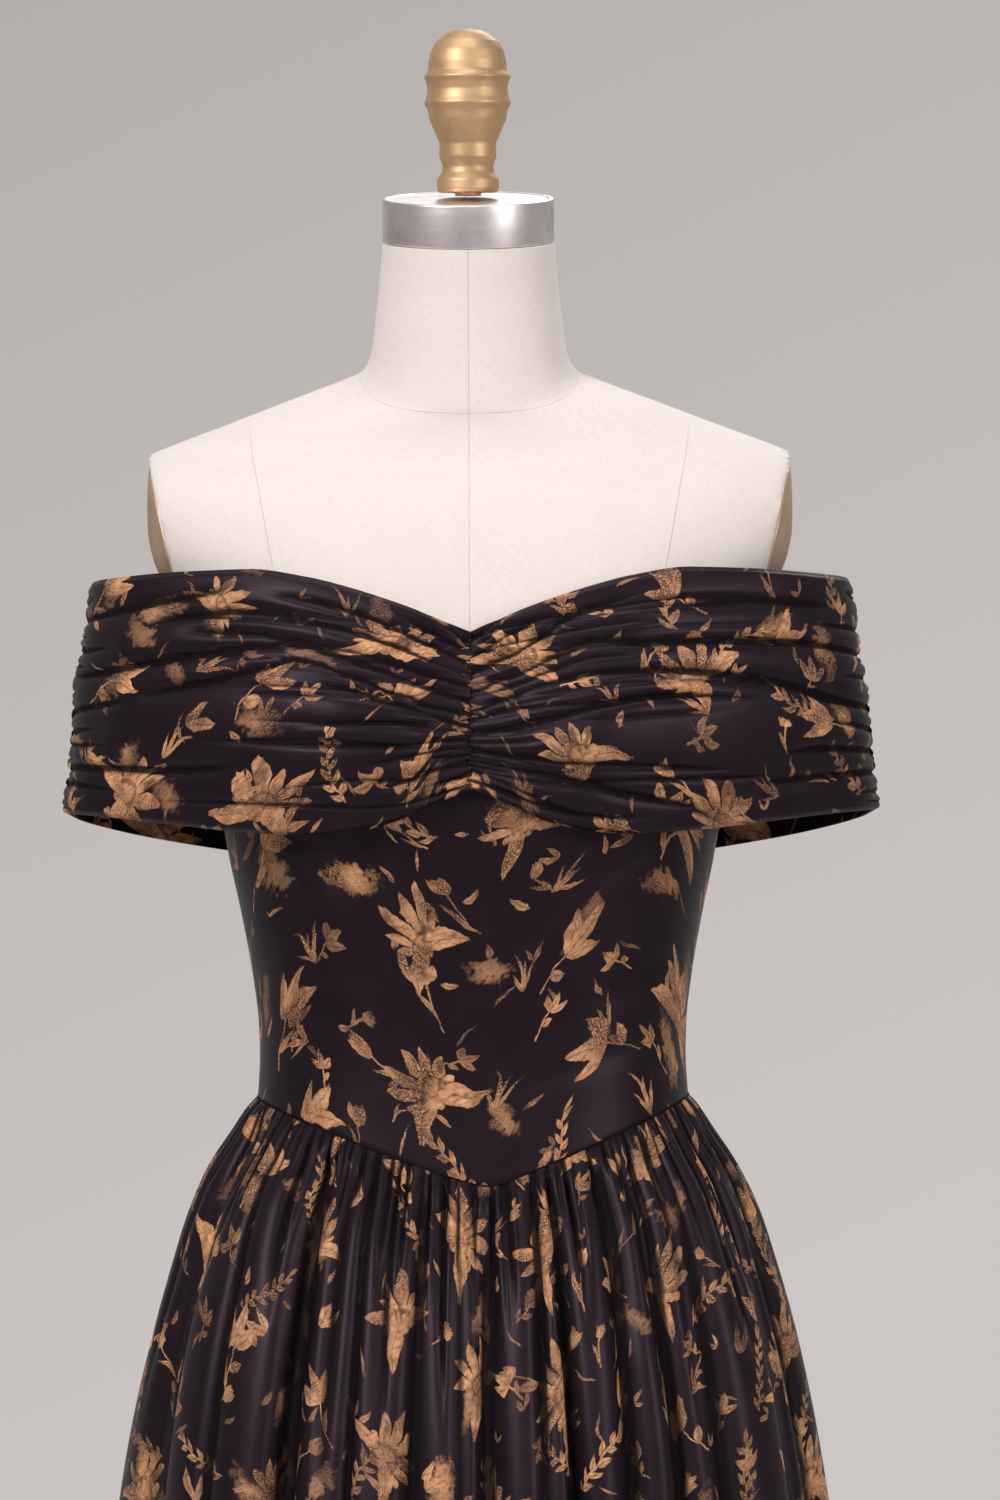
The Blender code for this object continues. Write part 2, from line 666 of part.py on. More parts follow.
def make_band(name, sheets, first, last, side):
    """One quarter of the ruched band, between two steps of the half: relief outside, plain inside."""
    quarter = []
    for sheet in sheets:
        rows = sheet[:, first : last + 1] * np.array([side, 1, 1])
        for end, beside in ((0, 1), (-1, -2)):
            way = rows[:, beside] - rows[:, end]
            rows[:, end] += way / np.linalg.norm(way, axis=1)[:, None] * SEAM_GAP
        quarter.append(list(rows))
    outer, inner = quarter
    return wall(name, outer, inner[::2], "cloth")


def make_dress():
    quarter = math.pi / 2
    make_bodice_panel("bodice_front", -quarter, quarter, 22, 15)
    make_bodice_panel("bodice_back_left", quarter, math.pi, 9, 7, zip_end=-1)
    make_bodice_panel("bodice_back_right", math.pi, 3 * quarter, 9, 7, zip_end=0)
    waist = skirt_waist()
    make_skirt_panel("skirt_back_right", 0.00, 0.25, waist, zip_end=0)
    make_skirt_panel("skirt_front", 0.25, 0.75, waist)
    make_skirt_panel("skirt_back_left", 0.75, 1.00, waist, zip_end=-1)
    make_zip(waist)
    sheets = band_sheets()
    arm = BAND_FRONT_STEPS
    for word, side in (("left", 1), ("right", -1)):
        make_band(f"band_front_{word}", sheets, 0, arm, side)
        make_band(f"band_back_{word}", sheets, arm, arm + BAND_BACK_STEPS, side)


def make_form():
    make_torso()
    make_neck_cap()
    make_finial()
    make_arm_plate("arm_plate_left", 1)
    make_arm_plate("arm_plate_right", -1)
    make_stand()


clear_scene()
make_form()
make_dress()
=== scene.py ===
"""Off-shoulder dress on a limbless dress form: its looks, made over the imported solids.

Units are metres, +Z is up and the front faces -Y. Each cloth piece is a thin sheet on its solid's
form with the finer folds and creases. The print is drawn by the cloth's material from UVs that are
metres of cloth, across and down.
"""

import math

import bpy
import numpy as np
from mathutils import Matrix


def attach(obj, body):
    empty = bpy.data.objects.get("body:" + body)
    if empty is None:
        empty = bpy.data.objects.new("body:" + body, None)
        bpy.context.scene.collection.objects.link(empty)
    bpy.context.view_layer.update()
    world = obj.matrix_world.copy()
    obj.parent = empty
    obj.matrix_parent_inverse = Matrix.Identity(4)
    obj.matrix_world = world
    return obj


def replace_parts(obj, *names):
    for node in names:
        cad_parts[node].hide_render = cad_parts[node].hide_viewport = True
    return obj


# Sizes shared with the solids
SEAM_GAP = 0.0003
WAIST_GAP = 0.0005
TOP_OF_BASE = 0.018
POLE_RADIUS = 0.016
BASE_RADIUS = 0.200

# The form's level sections, and how much they tip up towards the front and the back
FORM_COLUMNS = ("level", "half_width", "front", "back", "front_lean", "back_lean")
FORM_SECTIONS = (
    (0.790, 0.1500, 0.1060, 0.1180, 0.00, 0.00),
    (0.800, 0.1560, 0.1090, 0.1230, 0.00, 0.00),
    (0.860, 0.1630, 0.1115, 0.1280, 0.00, 0.00),
    (0.915, 0.1580, 0.1100, 0.1230, 0.00, 0.00),
    (0.970, 0.1460, 0.1045, 0.1110, 0.00, 0.00),
    (1.020, 0.1330, 0.0985, 0.0970, 0.00, 0.00),
    (1.062, 0.1275, 0.0955, 0.0880, 0.00, 0.00),
    (1.086, 0.1262, 0.0950, 0.0860, 0.00, 0.00),
    (1.106, 0.1268, 0.0958, 0.0855, 0.00, 0.00),
    (1.131, 0.1297, 0.0980, 0.0865, 0.00, 0.00),
    (1.155, 0.1337, 0.1005, 0.0890, 0.00, 0.00),
    (1.177, 0.1380, 0.1030, 0.0920, 0.00, 0.00),
    (1.204, 0.1438, 0.1055, 0.0950, 0.00, 0.00),
    (1.240, 0.1500, 0.1080, 0.0980, 0.00, 0.00),
    (1.290, 0.1555, 0.1100, 0.1000, 0.00, 0.00),
    (1.325, 0.1600, 0.1085, 0.1000, 0.00, 0.00),
    (1.345, 0.1730, 0.1060, 0.0995, 0.00, 0.00),
    (1.370, 0.1940, 0.1010, 0.0985, 0.00, 0.00),
    (1.400, 0.2120, 0.0920, 0.0950, 0.02, 0.00),
    (1.425, 0.2200, 0.0800, 0.0880, 0.06, 0.02),
    (1.440, 0.2160, 0.0705, 0.0820, 0.10, 0.04),
    (1.4505, 0.1985, 0.0648, 0.0768, 0.14, 0.06),
    (1.4565, 0.1847, 0.0620, 0.0740, 0.18, 0.07),
    (1.4700, 0.1488, 0.0578, 0.0692, 0.25, 0.09),
    (1.4850, 0.1097, 0.0553, 0.0660, 0.34, 0.11),
    (1.4950, 0.0828, 0.0548, 0.0640, 0.41, 0.13),
    (1.5018, 0.0660, 0.0548, 0.0620, 0.45, 0.15),
    (1.5120, 0.0602, 0.0530, 0.0592, 0.40, 0.16),
    (1.5350, 0.0570, 0.0510, 0.0565, 0.32, 0.17),
    (1.5600, 0.0543, 0.0500, 0.0545, 0.24, 0.18),
    (1.5813, 0.0526, 0.0505, 0.0535, 0.18, 0.18),
)
# A section is a superellipse of this power.
SECTION_ROUNDNESS = 2.35
BUST_APEX_X = 0.083
BUST_APEX_Z = 1.288
BUST_HEIGHT = 0.026
BUST_SPREAD_X = 0.046
BUST_SPREAD_UP = 0.050
BUST_SPREAD_DOWN = 0.036

SHOULDER_TIP_X = 0.195
SHOULDER_TIP_Z = 1.449
ARMHOLE_SLOPE = 0.23
PLATE_MIDDLE_Z = 1.394
PLATE_HALF_HEIGHT = 0.050
PLATE_HALF_DEPTH = 0.042
# Each row is a share of the plate's half size and the height there over the flat armhole.
PLATE_PROFILE = (
    (0.00, 0.0123),
    (0.12, 0.0121),
    (0.34, 0.0104),
    (0.62, 0.0071),
    (0.86, 0.0038),
    (1.00, 0.0014),
)

TORSO_SIDES = 224
TORSO_ROW = 0.0054
PLATE_SIDES = 96

# Seams of the form's cover. Princess seams are rows of a level and the seam's x there.
FORM_SEAM_LIFT = 0.00008
FORM_SEAM_RADIUS = 0.00018
NECK_SEAM_LEVEL = 1.5015
NECK_SEAM_DIP = 0.0045
PRINCESS_FRONT = (
    (0.8000, 0.0800),
    (1.0860, 0.0620),
    (1.2880, 0.0830),
    (1.3300, 0.1050),
    (1.3760, 0.1160),
    (1.4400, 0.1275),
    (1.4737, 0.1333),
)
PRINCESS_BACK = (
    (0.8000, 0.0760),
    (1.0860, 0.0560),
    (1.2500, 0.0700),
    (1.4737, 0.1333),
)

NECK_TILT = math.atan(0.18)
CAP_RADIUS = 0.0524
CAP_HEIGHT = 0.0263
FINIAL_TILT = math.radians(3.5)
FINIAL_LIFT = 0.0011
STUD_RADIUS = 0.0080
# Each row is a radius and its height above the finial's foot.
FINIAL_PROFILE = (
    (0.0180, 0.0000),
    (0.0190, 0.0020),
    (0.0190, 0.0080),
    (0.0160, 0.0120),
    (0.0154, 0.0156),
    (0.0168, 0.0200),
    (0.0174, 0.0212),
    (0.0173, 0.0300),
    (0.0206, 0.0376),
    (0.0235, 0.0444),
    (0.0245, 0.0503),
    (0.0266, 0.0540),
    (0.0252, 0.0575),
    (0.0244, 0.0625),
    (0.0252, 0.0670),
    (0.0266, 0.0702),
    (0.0240, 0.0741),
    (0.0237, 0.0800),
    (0.0220, 0.0867),
    (0.0188, 0.0919),
    (0.0134, 0.0961),
    (0.0085, 0.0983),
    (0.0030, 0.0990),
)

BODICE_EASE = 0.0022
BODICE_WALL = 0.0015
WAIST_SIDE_Z = 1.0605
WAIST_POINT_Z = 1.0118
WAIST_POINT_X = 0.008
WAIST_BACK_DIP = 0.012
WAIST_POINT_ROUNDING = 0.06
NECK_POINT_Z = 1.3350
NECK_PEAK_Z = 1.3640
NECK_PEAK_ANGLE = math.radians(42)
UNDERARM_Z = 1.3230
BODICE_BACK_Z = 1.3420

ZIP_WIDTH = 0.0050
HALF_ZIP_OPENING = ZIP_WIDTH / 2 + SEAM_GAP
ZIP_EASING = 0.014
ZIP_FOOT_DEPTH = 0.091
ZIP_TAPE_WALL = 0.0009
# Each row is a share of the tape's half width and the height of its outer face there.
ZIP_TAPE_SECTION = (
    (-1.00, 0.0000),
    (-0.50, 0.0002),
    (-0.12, 0.0003),
    (0.12, 0.0003),
    (0.50, 0.0002),
    (1.00, 0.0000),
)
TOOTH_PITCH = 0.0012
TOOTH_SIZE = (0.0013, 0.0007, 0.0008)
TOOTH_SIDE = 0.00045
TOOTH_LIFT = 0.0005
SLIDER_SIZE = (0.0050, 0.0090, 0.0026)
SLIDER_LIFT = 0.0012
PULL_SIZE = (0.0034, 0.0150, 0.0009)
PULL_LIFT = 0.0028
PULL_DROP = 0.010

HEM_Z = 0.015
SKIRT_DROP = 1.045
# How far the skirt's crests stand out of the waist seam, at depths below it
FLARE_COLUMNS = ("below_waist", "flare")
FLARE = (
    (0.0000, 0.0010),
    (0.0085, 0.0095),
    (0.0226, 0.0188),
    (0.0428, 0.0305),
    (0.0709, 0.0428),
    (0.1027, 0.0532),
    (0.1381, 0.0635),
    (0.1747, 0.0722),
    (0.2181, 0.0804),
    (0.2474, 0.0854),
    (0.5000, 0.1260),
    (0.8000, 0.1730),
    (1.0450, 0.2130),
)

# Each row is three points (x, y, z) of the band's base surface, at its top edge, middle and lower
# edge, from the centre front round the wearer's left arm to the centre back.
BAND_STATIONS = (
    (0.0000, -0.1190, 1.3399, 0.0000, -0.1290, 1.2940, 0.0000, -0.1240, 1.2484),
    (0.0200, -0.1190, 1.3480, 0.0200, -0.1310, 1.2940, 0.0200, -0.1250, 1.2410),
    (0.0450, -0.1180, 1.3573, 0.0460, -0.1360, 1.2945, 0.0460, -0.1260, 1.2295),
    (0.0700, -0.1130, 1.3655, 0.0710, -0.1375, 1.2955, 0.0700, -0.1240, 1.2240),
    (0.0960, -0.1080, 1.3723, 0.0970, -0.1320, 1.2970, 0.0950, -0.1165, 1.2222),
    (0.1310, -0.0960, 1.3776, 0.1350, -0.1140, 1.2990, 0.1350, -0.0990, 1.2240),
    (0.1700, -0.0770, 1.3770, 0.1780, -0.0880, 1.3010, 0.1790, -0.0740, 1.2285),
    (0.2055, -0.0510, 1.3750, 0.2165, -0.0560, 1.3020, 0.2180, -0.0470, 1.2326),
    (0.2245, -0.0220, 1.3736, 0.2365, -0.0250, 1.3025, 0.2415, -0.0210, 1.2345),
    (0.2295, 0.0000, 1.3731, 0.2418, 0.0000, 1.3030, 0.2480, 0.0000, 1.2351),
    (0.2235, 0.0260, 1.3725, 0.2355, 0.0280, 1.3010, 0.2410, 0.0250, 1.2303),
    (0.2020, 0.0540, 1.3712, 0.2120, 0.0590, 1.2980, 0.2160, 0.0540, 1.2224),
    (0.1640, 0.0820, 1.3685, 0.1710, 0.0890, 1.2930, 0.1720, 0.0840, 1.2132),
    (0.1150, 0.1010, 1.3650, 0.1190, 0.1080, 1.2875, 0.1190, 0.1050, 1.2054),
    (0.0580, 0.1110, 1.3615, 0.0600, 0.1150, 1.2840, 0.0600, 0.1130, 1.2010),
    (0.0000, 0.1130, 1.3600, 0.0000, 0.1160, 1.2825, 0.0000, 0.1140, 1.1995),
)
ARM_STATION = 9

# Skirt folds. Each group's folds are valleys spread round the girth: half_width is a share of the
# group's own spacing, the tops and lengths are metres below the seam, and the strengths are shares
# of the group's depth in FOLD_DEPTHS.
FOLD_SEED = 11
FOLD_GROUPS = (
    # name, count, jitter, half_width, tops, lengths, strengths
    ("main", 34, 0.42, 0.19, (0.000, 0.012), (1.6, 1.8), (0.35, 1.25)),
    ("second", 38, 0.48, 0.14, (0.000, 0.006), (0.06, 0.26), (0.30, 1.15)),
    ("pucker", 126, 0.44, 0.20, (0.000, 0.001), (0.018, 0.100), (0.35, 1.25)),
)
FOLD_DEPTH_COLUMNS = ("below_waist", "main", "second", "pucker")
FOLD_DEPTHS = (
    (0.000, 0.0008, 0.0008, 0.0012),
    (0.010, 0.0036, 0.0034, 0.0040),
    (0.030, 0.0078, 0.0054, 0.0042),
    (0.060, 0.0106, 0.0056, 0.0032),
    (0.110, 0.0142, 0.0058, 0.0018),
    (0.240, 0.0200, 0.0062, 0.0000),
    (0.430, 0.0250, 0.0065, 0.0000),
    (0.700, 0.0290, 0.0065, 0.0000),
    (1.045, 0.0330, 0.0065, 0.0000),
)
DEEPEST_FOLD = 0.036
CREST_FULLNESS = 0.0030
# Chances of a fold: its width as a share of its group's, and its drift and sway aside as shares of
# the group's spacing
FOLD_WIDTHS = (0.6, 1.6)
FOLD_DRIFT = 0.22
FOLD_DRIFT_LENGTH = 0.3
FOLD_SWAY = 0.10
FOLD_SWAYS_A_METRE = 7
FOLD_SKEW = 0.45
FOLD_WIDENING = 0.35
SKIRT_ROWS = np.concatenate(
    [
        np.linspace(0.000, 0.012, 8, endpoint=False),
        np.linspace(0.012, 0.060, 22, endpoint=False),
        np.linspace(0.060, 0.240, 32, endpoint=False),
        np.linspace(0.240, SKIRT_DROP, 62),
    ]
)
# Rows of the hem's turned edge, up its inner side from the fold
HEM_TURN_ROWS = (0.0, 0.0008, 0.004, 0.012, 0.022)
HEM_FOLD = 0.0004
# Widths that the skirt panels are cut to, at the waist and at the hem. What a panel's surface
# doesn't show of them is hidden in its folds, and the print loses that much there.
SKIRT_CUT_FRONT = (0.90, 1.42)
SKIRT_CUT_BACK = (0.46, 0.74)
SKIRT_PRINT_SHIFT = 3.1
SKIRT_COLUMNS_FRONT = 700
SKIRT_COLUMNS_BACK = 350
HEM_WALL = 0.0013

# A valley gets painted shade: the cloth's colour is darkened there, as if less light came in. It is a
# point deeper than the mean of those within reach, a number of points to each side, and is full at
# this depth over the mean. The skirt's full depth is a share of the main folds' own, and at least
# this much.
SKIRT_VALLEY_REACH = 11
SKIRT_VALLEY_SHARE = 0.09
SKIRT_VALLEY_LEAST = 0.0003
BAND_VALLEY_REACH = 5
BAND_VALLEY_DEPTH = 0.0010

# Creases of the band. Points are (along, down): along runs from the centre front (0) to the arm
# seam (1), or from the arm seam (0) to the centre back (1), and down from the top edge (0) to the
# lower edge (1). The half width and the depth are in millimetres.
CREASES_FRONT_RIGHT = (
    (((0.47, 0.06), (0.72, 0.12), (1.00, 0.17)), 3.4, 2.2),
    (((0.00, 0.335), (0.13, 0.285), (0.285, 0.245), (0.63, 0.22)), 3.0, 3.2),
    (((0.00, 0.43), (0.14, 0.34), (0.34, 0.262), (0.565, 0.318), (0.94, 0.41)), 3.2, 3.8),
    (((0.00, 0.53), (0.14, 0.425), (0.34, 0.32), (0.42, 0.363), (0.72, 0.494)), 2.8, 3.2),
    (((0.00, 0.594), (0.115, 0.49), (0.235, 0.42), (0.34, 0.39)), 2.4, 2.8),
    (((0.00, 0.640), (0.165, 0.54)), 2.0, 2.2),
    (((0.00, 0.690), (0.12, 0.645)), 1.8, 2.0),
    (((0.00, 0.735), (0.12, 0.72), (0.235, 0.74)), 2.0, 2.2),
    (((0.00, 0.785), (0.16, 0.79)), 1.8, 2.0),
    (((0.00, 0.840), (0.10, 0.835), (0.22, 0.86)), 2.0, 2.2),
    (((0.00, 0.916), (0.165, 0.88)), 1.8, 2.0),
    (((0.00, 0.100), (0.20, 0.04)), 2.2, 1.8),
    (((0.00, 0.180), (0.24, 0.09), (0.42, 0.08)), 2.4, 2.4),
    (((0.00, 0.260), (0.25, 0.17), (0.50, 0.15), (0.74, 0.20)), 2.6, 2.6),
    (((0.72, 0.50), (1.00, 0.565)), 2.6, 2.6),
    (((0.78, 0.28), (1.00, 0.30)), 2.2, 2.2),
    (((0.80, 0.62), (1.00, 0.645)), 2.4, 2.4),
    (((0.77, 0.69), (1.00, 0.70)), 2.0, 2.0),
    (((0.445, 0.73), (0.60, 0.78), (1.00, 0.80)), 4.0, 3.0),
    (((0.74, 0.88), (1.00, 0.87)), 2.2, 2.0),
)
CREASES_FRONT_LEFT = (
    (((0.00, 0.25), (0.13, 0.17), (0.205, 0.09), (0.38, 0.07)), 2.6, 2.8),
    (((0.00, 0.37), (0.155, 0.27), (0.235, 0.22), (0.355, 0.26), (0.75, 0.28)), 3.0, 3.6),
    (((0.00, 0.44), (0.14, 0.33), (0.24, 0.29), (0.40, 0.31)), 2.4, 2.6),
    (((0.00, 0.50), (0.145, 0.38), (0.25, 0.36), (0.525, 0.40), (0.91, 0.55)), 3.2, 3.8),
    (((0.00, 0.56), (0.13, 0.45), (0.26, 0.43)), 2.2, 2.4),
    (((0.00, 0.64), (0.18, 0.53), (0.275, 0.49), (0.37, 0.47), (0.52, 0.48)), 2.6, 3.0),
    (((0.00, 0.71), (0.18, 0.62)), 2.0, 2.2),
    (((0.00, 0.77), (0.195, 0.70)), 2.0, 2.2),
    (((0.00, 0.82), (0.105, 0.80), (0.205, 0.81), (0.305, 0.85), (0.465, 0.91)), 3.2, 3.2),
    (((0.00, 0.90), (0.10, 0.91), (0.24, 0.96)), 2.2, 2.0),
    (((0.00, 0.13), (0.18, 0.05)), 2.2, 2.0),
    (((0.42, 0.14), (0.62, 0.12), (0.86, 0.13)), 2.8, 2.0),
    (((0.59, 0.27), (0.705, 0.28), (1.00, 0.33)), 2.6, 2.6),
    (((0.745, 0.20), (1.00, 0.22)), 2.2, 2.2),
    (((0.80, 0.41), (1.00, 0.43)), 2.0, 2.0),
    (((0.675, 0.47), (0.77, 0.51), (1.00, 0.56)), 2.6, 2.8),
    (((0.765, 0.60), (1.00, 0.66)), 2.4, 2.4),
    (((0.635, 0.73), (0.73, 0.72), (1.00, 0.75)), 3.0, 3.0),
    (((0.575, 0.84), (0.765, 0.84), (1.00, 0.84)), 3.4, 2.8),
    (((0.82, 0.92), (1.00, 0.93)), 2.0, 1.8),
)
CREASES_BACK = (
    (((0.00, 0.10), (0.40, 0.08), (0.85, 0.12)), 3.0, 2.0),
    (((0.00, 0.20), (0.45, 0.17), (1.00, 0.22)), 3.4, 2.8),
    (((0.00, 0.31), (0.35, 0.29)), 2.4, 2.2),
    (((0.00, 0.38), (0.50, 0.33), (1.00, 0.36)), 3.2, 2.8),
    (((0.00, 0.50), (0.30, 0.46), (0.72, 0.47)), 2.8, 2.6),
    (((0.25, 0.58), (0.70, 0.56), (1.00, 0.60)), 3.6, 2.2),
    (((0.00, 0.62), (0.34, 0.64)), 2.4, 2.2),
    (((0.00, 0.72), (0.40, 0.70), (1.00, 0.74)), 3.4, 2.8),
    (((0.00, 0.83), (0.36, 0.82), (0.66, 0.85)), 2.8, 2.4),
    (((0.00, 0.92), (0.22, 0.91)), 2.2, 1.8),
)
PUFF_COLUMNS = ("along", "top", "bust", "low")
# How far the cloth stands off the band's base surface between its creases.
PUFF_FRONT = (
    (0.00, 0.0014, 0.0016, 0.0016),
    (0.08, 0.0024, 0.0026, 0.0026),
    (0.25, 0.0024, 0.0022, 0.0022),
    (0.45, 0.0022, 0.0012, 0.0016),
    (0.70, 0.0022, 0.0014, 0.0014),
    (0.90, 0.0022, 0.0020, 0.0020),
    (1.00, 0.0010, 0.0010, 0.0010),
)
PUFF_BACK = (
    (0.00, 0.0010, 0.0010, 0.0010),
    (0.12, 0.0020, 0.0020, 0.0020),
    (0.50, 0.0018, 0.0012, 0.0014),
    (1.00, 0.0014, 0.0010, 0.0012),
)
DEEPEST_CREASE = 0.0085
# All creases' depths and half widths are multiplied by these.
CREASE_DEPTH = 2.0
CREASE_WIDTH = 0.80
BAND_COLUMNS_FRONT = 190
BAND_COLUMNS_BACK = 110
BAND_ROWS = 120
BAND_SAMPLES = 601
BAND_SEED = 5
BAND_PRINT_PLACE = (0.9, 0.4)
BAND_LIFT = 0.0026
BAND_LEAST_WALL = 0.0006
BAND_INNER_FACE = -0.0013
ARM_GATHERS = 23
CENTRE_GATHERS = 25
LONG_CREASES = 17
CENTRE_SEAM_DEPTH = 0.0030
CENTRE_SEAM_SHARE = 0.022

# Soft creases of the bodice: ends (x, z) on the front, half width and depth in millimetres.
BODICE_CREASES = (
    ((-0.118, 1.235), (-0.070, 1.185), 9.0, 1.2),
    ((-0.060, 1.225), (-0.122, 1.160), 8.0, 1.0),
    ((-0.128, 1.130), (-0.075, 1.105), 7.0, 0.8),
    ((0.120, 1.225), (0.070, 1.190), 8.0, 1.0),
    ((0.128, 1.150), (0.080, 1.120), 8.0, 0.8),
    ((0.030, 1.070), (0.105, 1.095), 7.0, 0.7),
    ((-0.020, 1.205), (-0.035, 1.120), 9.0, 0.6),
)
# All of their depths are multiplied by this.
BODICE_CREASE_DEPTH = 1.5
BODICE_RADIUS = 0.115
# Where on the cloth a panel is cut: a place for all, and a step for each radian round the form
BODICE_PRINT_PLACE = 2.0
BODICE_PRINT_STEP = 0.13
WAIST_GIRTH = 0.75
WAIST_RADIUS = 0.088
WAIST_POINTS = 2881

# The camera looks level along +Y. The view's height is measured at the form's axis.
CAMERA_PLACE = (0.0176, -3.6, 1.2708)
CAMERA_ROLL = 0.0055
VIEW_HALF_HEIGHT = 0.45825
FLOOR_RADIUS = 4.5
FLOOR_SIDES = 96
# Colours of the backdrop that the camera sees, with painted shade that darkens it upwards, and of the light
# that the world gives
BACKDROP_LOW = (0.600, 0.567, 0.548)
BACKDROP_HIGH = (0.455, 0.428, 0.412)
WORLD_LIGHT_FRONT = (0.262, 0.256, 0.259)
WORLD_LIGHT_BEHIND = (0.420, 0.403, 0.395)
LIGHTS = (
    # name, place, aim, size, watts
    ("key", (-2.0, -2.6, 2.9), (0.0, 0.0, 1.25), (1.1, 1.1), 88),
    ("fill", (2.5, -2.2, 2.0), (0.0, 0.0, 1.15), (1.0, 1.4), 42),
    ("front", (0.2, -4.6, 2.8), (0.0, 0.0, 1.10), (2.0, 1.0), 22),
    ("top", (0.0, -0.4, 3.4), (0.0, 0.0, 1.20), (1.4, 0.8), 16),
    ("back", (0.9, 3.0, 4.0), (0.0, 0.0, 1.00), (2.0, 1.4), 46),
)

# Colours of the cloth: its ground, the print's lightest and darkest gold, and painted shade deep in a fold
SATIN_GROUND = (0.0084, 0.0048, 0.0068)
PRINT_LIGHT = (0.900, 0.465, 0.240)
PRINT_DARK = (0.165, 0.062, 0.025)
FOLD_PAINTED_SHADE = (0.0008, 0.0005, 0.0007)
THREAD_DARK = (0.0025, 0.0018, 0.0022)


def smoothstep(low, high, x):
    t = np.clip((x - low) / (high - low), 0, 1)
    return t * t * (3 - 2 * t)


def read_table(rows, columns, column, at):
    """A table's column as a monotone cubic of its first column, read at the given values."""
    table = np.array(rows, float)
    x, y = table[:, 0], table[:, columns.index(column)]
    steps = np.diff(x)
    rises = np.diff(y) / steps
    slopes = np.zeros_like(y)
    slopes[0], slopes[-1] = rises[0], rises[-1]
    for i in range(1, len(x) - 1):
        if rises[i - 1] * rises[i] > 0:
            before, after = 2 * steps[i] + steps[i - 1], steps[i] + 2 * steps[i - 1]
            slopes[i] = (before + after) / (before / rises[i - 1] + after / rises[i])
    at = np.clip(np.asarray(at, float), x[0], x[-1])
    i = np.clip(np.searchsorted(x, at, side="right") - 1, 0, len(x) - 2)
    h = steps[i]
    t = (at - x[i]) / h
    return (
        y[i] * (1 + 2 * t) * (1 - t) ** 2
        + slopes[i] * h * t * (1 - t) ** 2
        + y[i + 1] * t**2 * (3 - 2 * t)
        + slopes[i + 1] * h * t**2 * (t - 1)
    )


def signed_power(value, power):
    return np.sign(value) * np.abs(value) ** power


def bust_at(x, z):
    """How far the two soft bust forms stand out of the plain section."""
    spread = np.where(z > BUST_APEX_Z, BUST_SPREAD_UP, BUST_SPREAD_DOWN)
    rise = ((z - BUST_APEX_Z) / spread) ** 2
    left = ((x - BUST_APEX_X) / BUST_SPREAD_X) ** 2
    right = ((x + BUST_APEX_X) / BUST_SPREAD_X) ** 2
    return BUST_HEIGHT * (np.exp(-(left + rise) / 2) + np.exp(-(right + rise) / 2))


def body_point(angle, level, out=0.0):
    """A point of the form's surface moved out level by `out`. The angle is 0 at the front and
    turns towards +X; all the arguments may be arrays."""
    angle, level = np.broadcast_arrays(np.asarray(angle, float), np.asarray(level, float))
    half_width, front, back, front_lean, back_lean = (
        read_table(FORM_SECTIONS, FORM_COLUMNS, column, level) for column in FORM_COLUMNS[1:]
    )
    forward = np.cos(angle)
    depth = np.where(forward > 0, front, back) + out
    x = (half_width + out) * signed_power(np.sin(angle), 2 / SECTION_ROUNDNESS)
    y = -depth * signed_power(forward, 2 / SECTION_ROUNDNESS)
    y = y - bust_at(x, level) * np.clip(forward * 3, 0, 1)
    lean = np.where(forward > 0, front_lean, back_lean)
    return np.stack([x, y, level + lean * y], axis=-1)


def armhole_x(z):
    return SHOULDER_TIP_X + (z - SHOULDER_TIP_Z) * ARMHOLE_SLOPE


def waist_z(angle):
    """The height of the waist seam: a rounded point at the front and a shallow dip at the back."""
    half_width = read_table(FORM_SECTIONS, FORM_COLUMNS, "half_width", WAIST_SIDE_Z)
    x = half_width * signed_power(np.sin(angle), 2 / SECTION_ROUNDNESS)
    off = x - WAIST_POINT_X
    share = np.abs(off) / np.where(off > 0, half_width - WAIST_POINT_X, half_width + WAIST_POINT_X)
    r = WAIST_POINT_ROUNDING
    share = (np.sqrt(share**2 + r**2) - r) / (math.sqrt(1 + r**2) - r)
    front = WAIST_POINT_Z + (WAIST_SIDE_Z - WAIST_POINT_Z) * share
    back = WAIST_SIDE_Z - WAIST_BACK_DIP * np.cos(angle) ** 2
    return np.where(np.cos(angle) > 0, front, back)


def bodice_top_z(angle):
    """The bodice's upper edge, hidden under the band: sweetheart in front, level at the back."""
    turn = np.abs((angle + math.pi) % (2 * math.pi) - math.pi)
    rows = (
        (0.0, NECK_POINT_Z),
        (NECK_PEAK_ANGLE * 0.5, (NECK_POINT_Z + NECK_PEAK_Z) / 2),
        (NECK_PEAK_ANGLE, NECK_PEAK_Z),
        (math.pi / 2, UNDERARM_Z),
        (math.radians(125), BODICE_BACK_Z),
        (math.pi, BODICE_BACK_Z),
    )
    return read_table(rows, ("turn", "z"), "z", turn)


def skirt_waist():
    """The skirt's upper edge as closely spaced points, with the way out at each and the share of
    the girth up to it, once round from the back seam."""
    angles = np.linspace(-math.pi, math.pi, WAIST_POINTS)
    edge = body_point(angles, waist_z(angles), BODICE_EASE + BODICE_WALL)
    edge[:, 2] = waist_z(angles) - WAIST_GAP / 2
    along = np.gradient(edge[:, :2], axis=0)
    along /= np.linalg.norm(along, axis=1)[:, None]
    out = np.stack([along[:, 1], -along[:, 0]], axis=1)
    lengths = np.linalg.norm(np.diff(edge, axis=0), axis=1)
    girth = np.concatenate([[0], np.cumsum(lengths)])
    return edge, out, girth / girth[-1]


# Steps that round each edge of a shell
RIM_STEPS = 3


# Mesh making


def add_piece(name, data, material):
    """An object that rides on the part, with its material in its one slot."""
    data.materials.append(material)
    piece = bpy.data.objects.new(name, data)
    bpy.context.scene.collection.objects.link(piece)
    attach(piece, "root")
    return piece


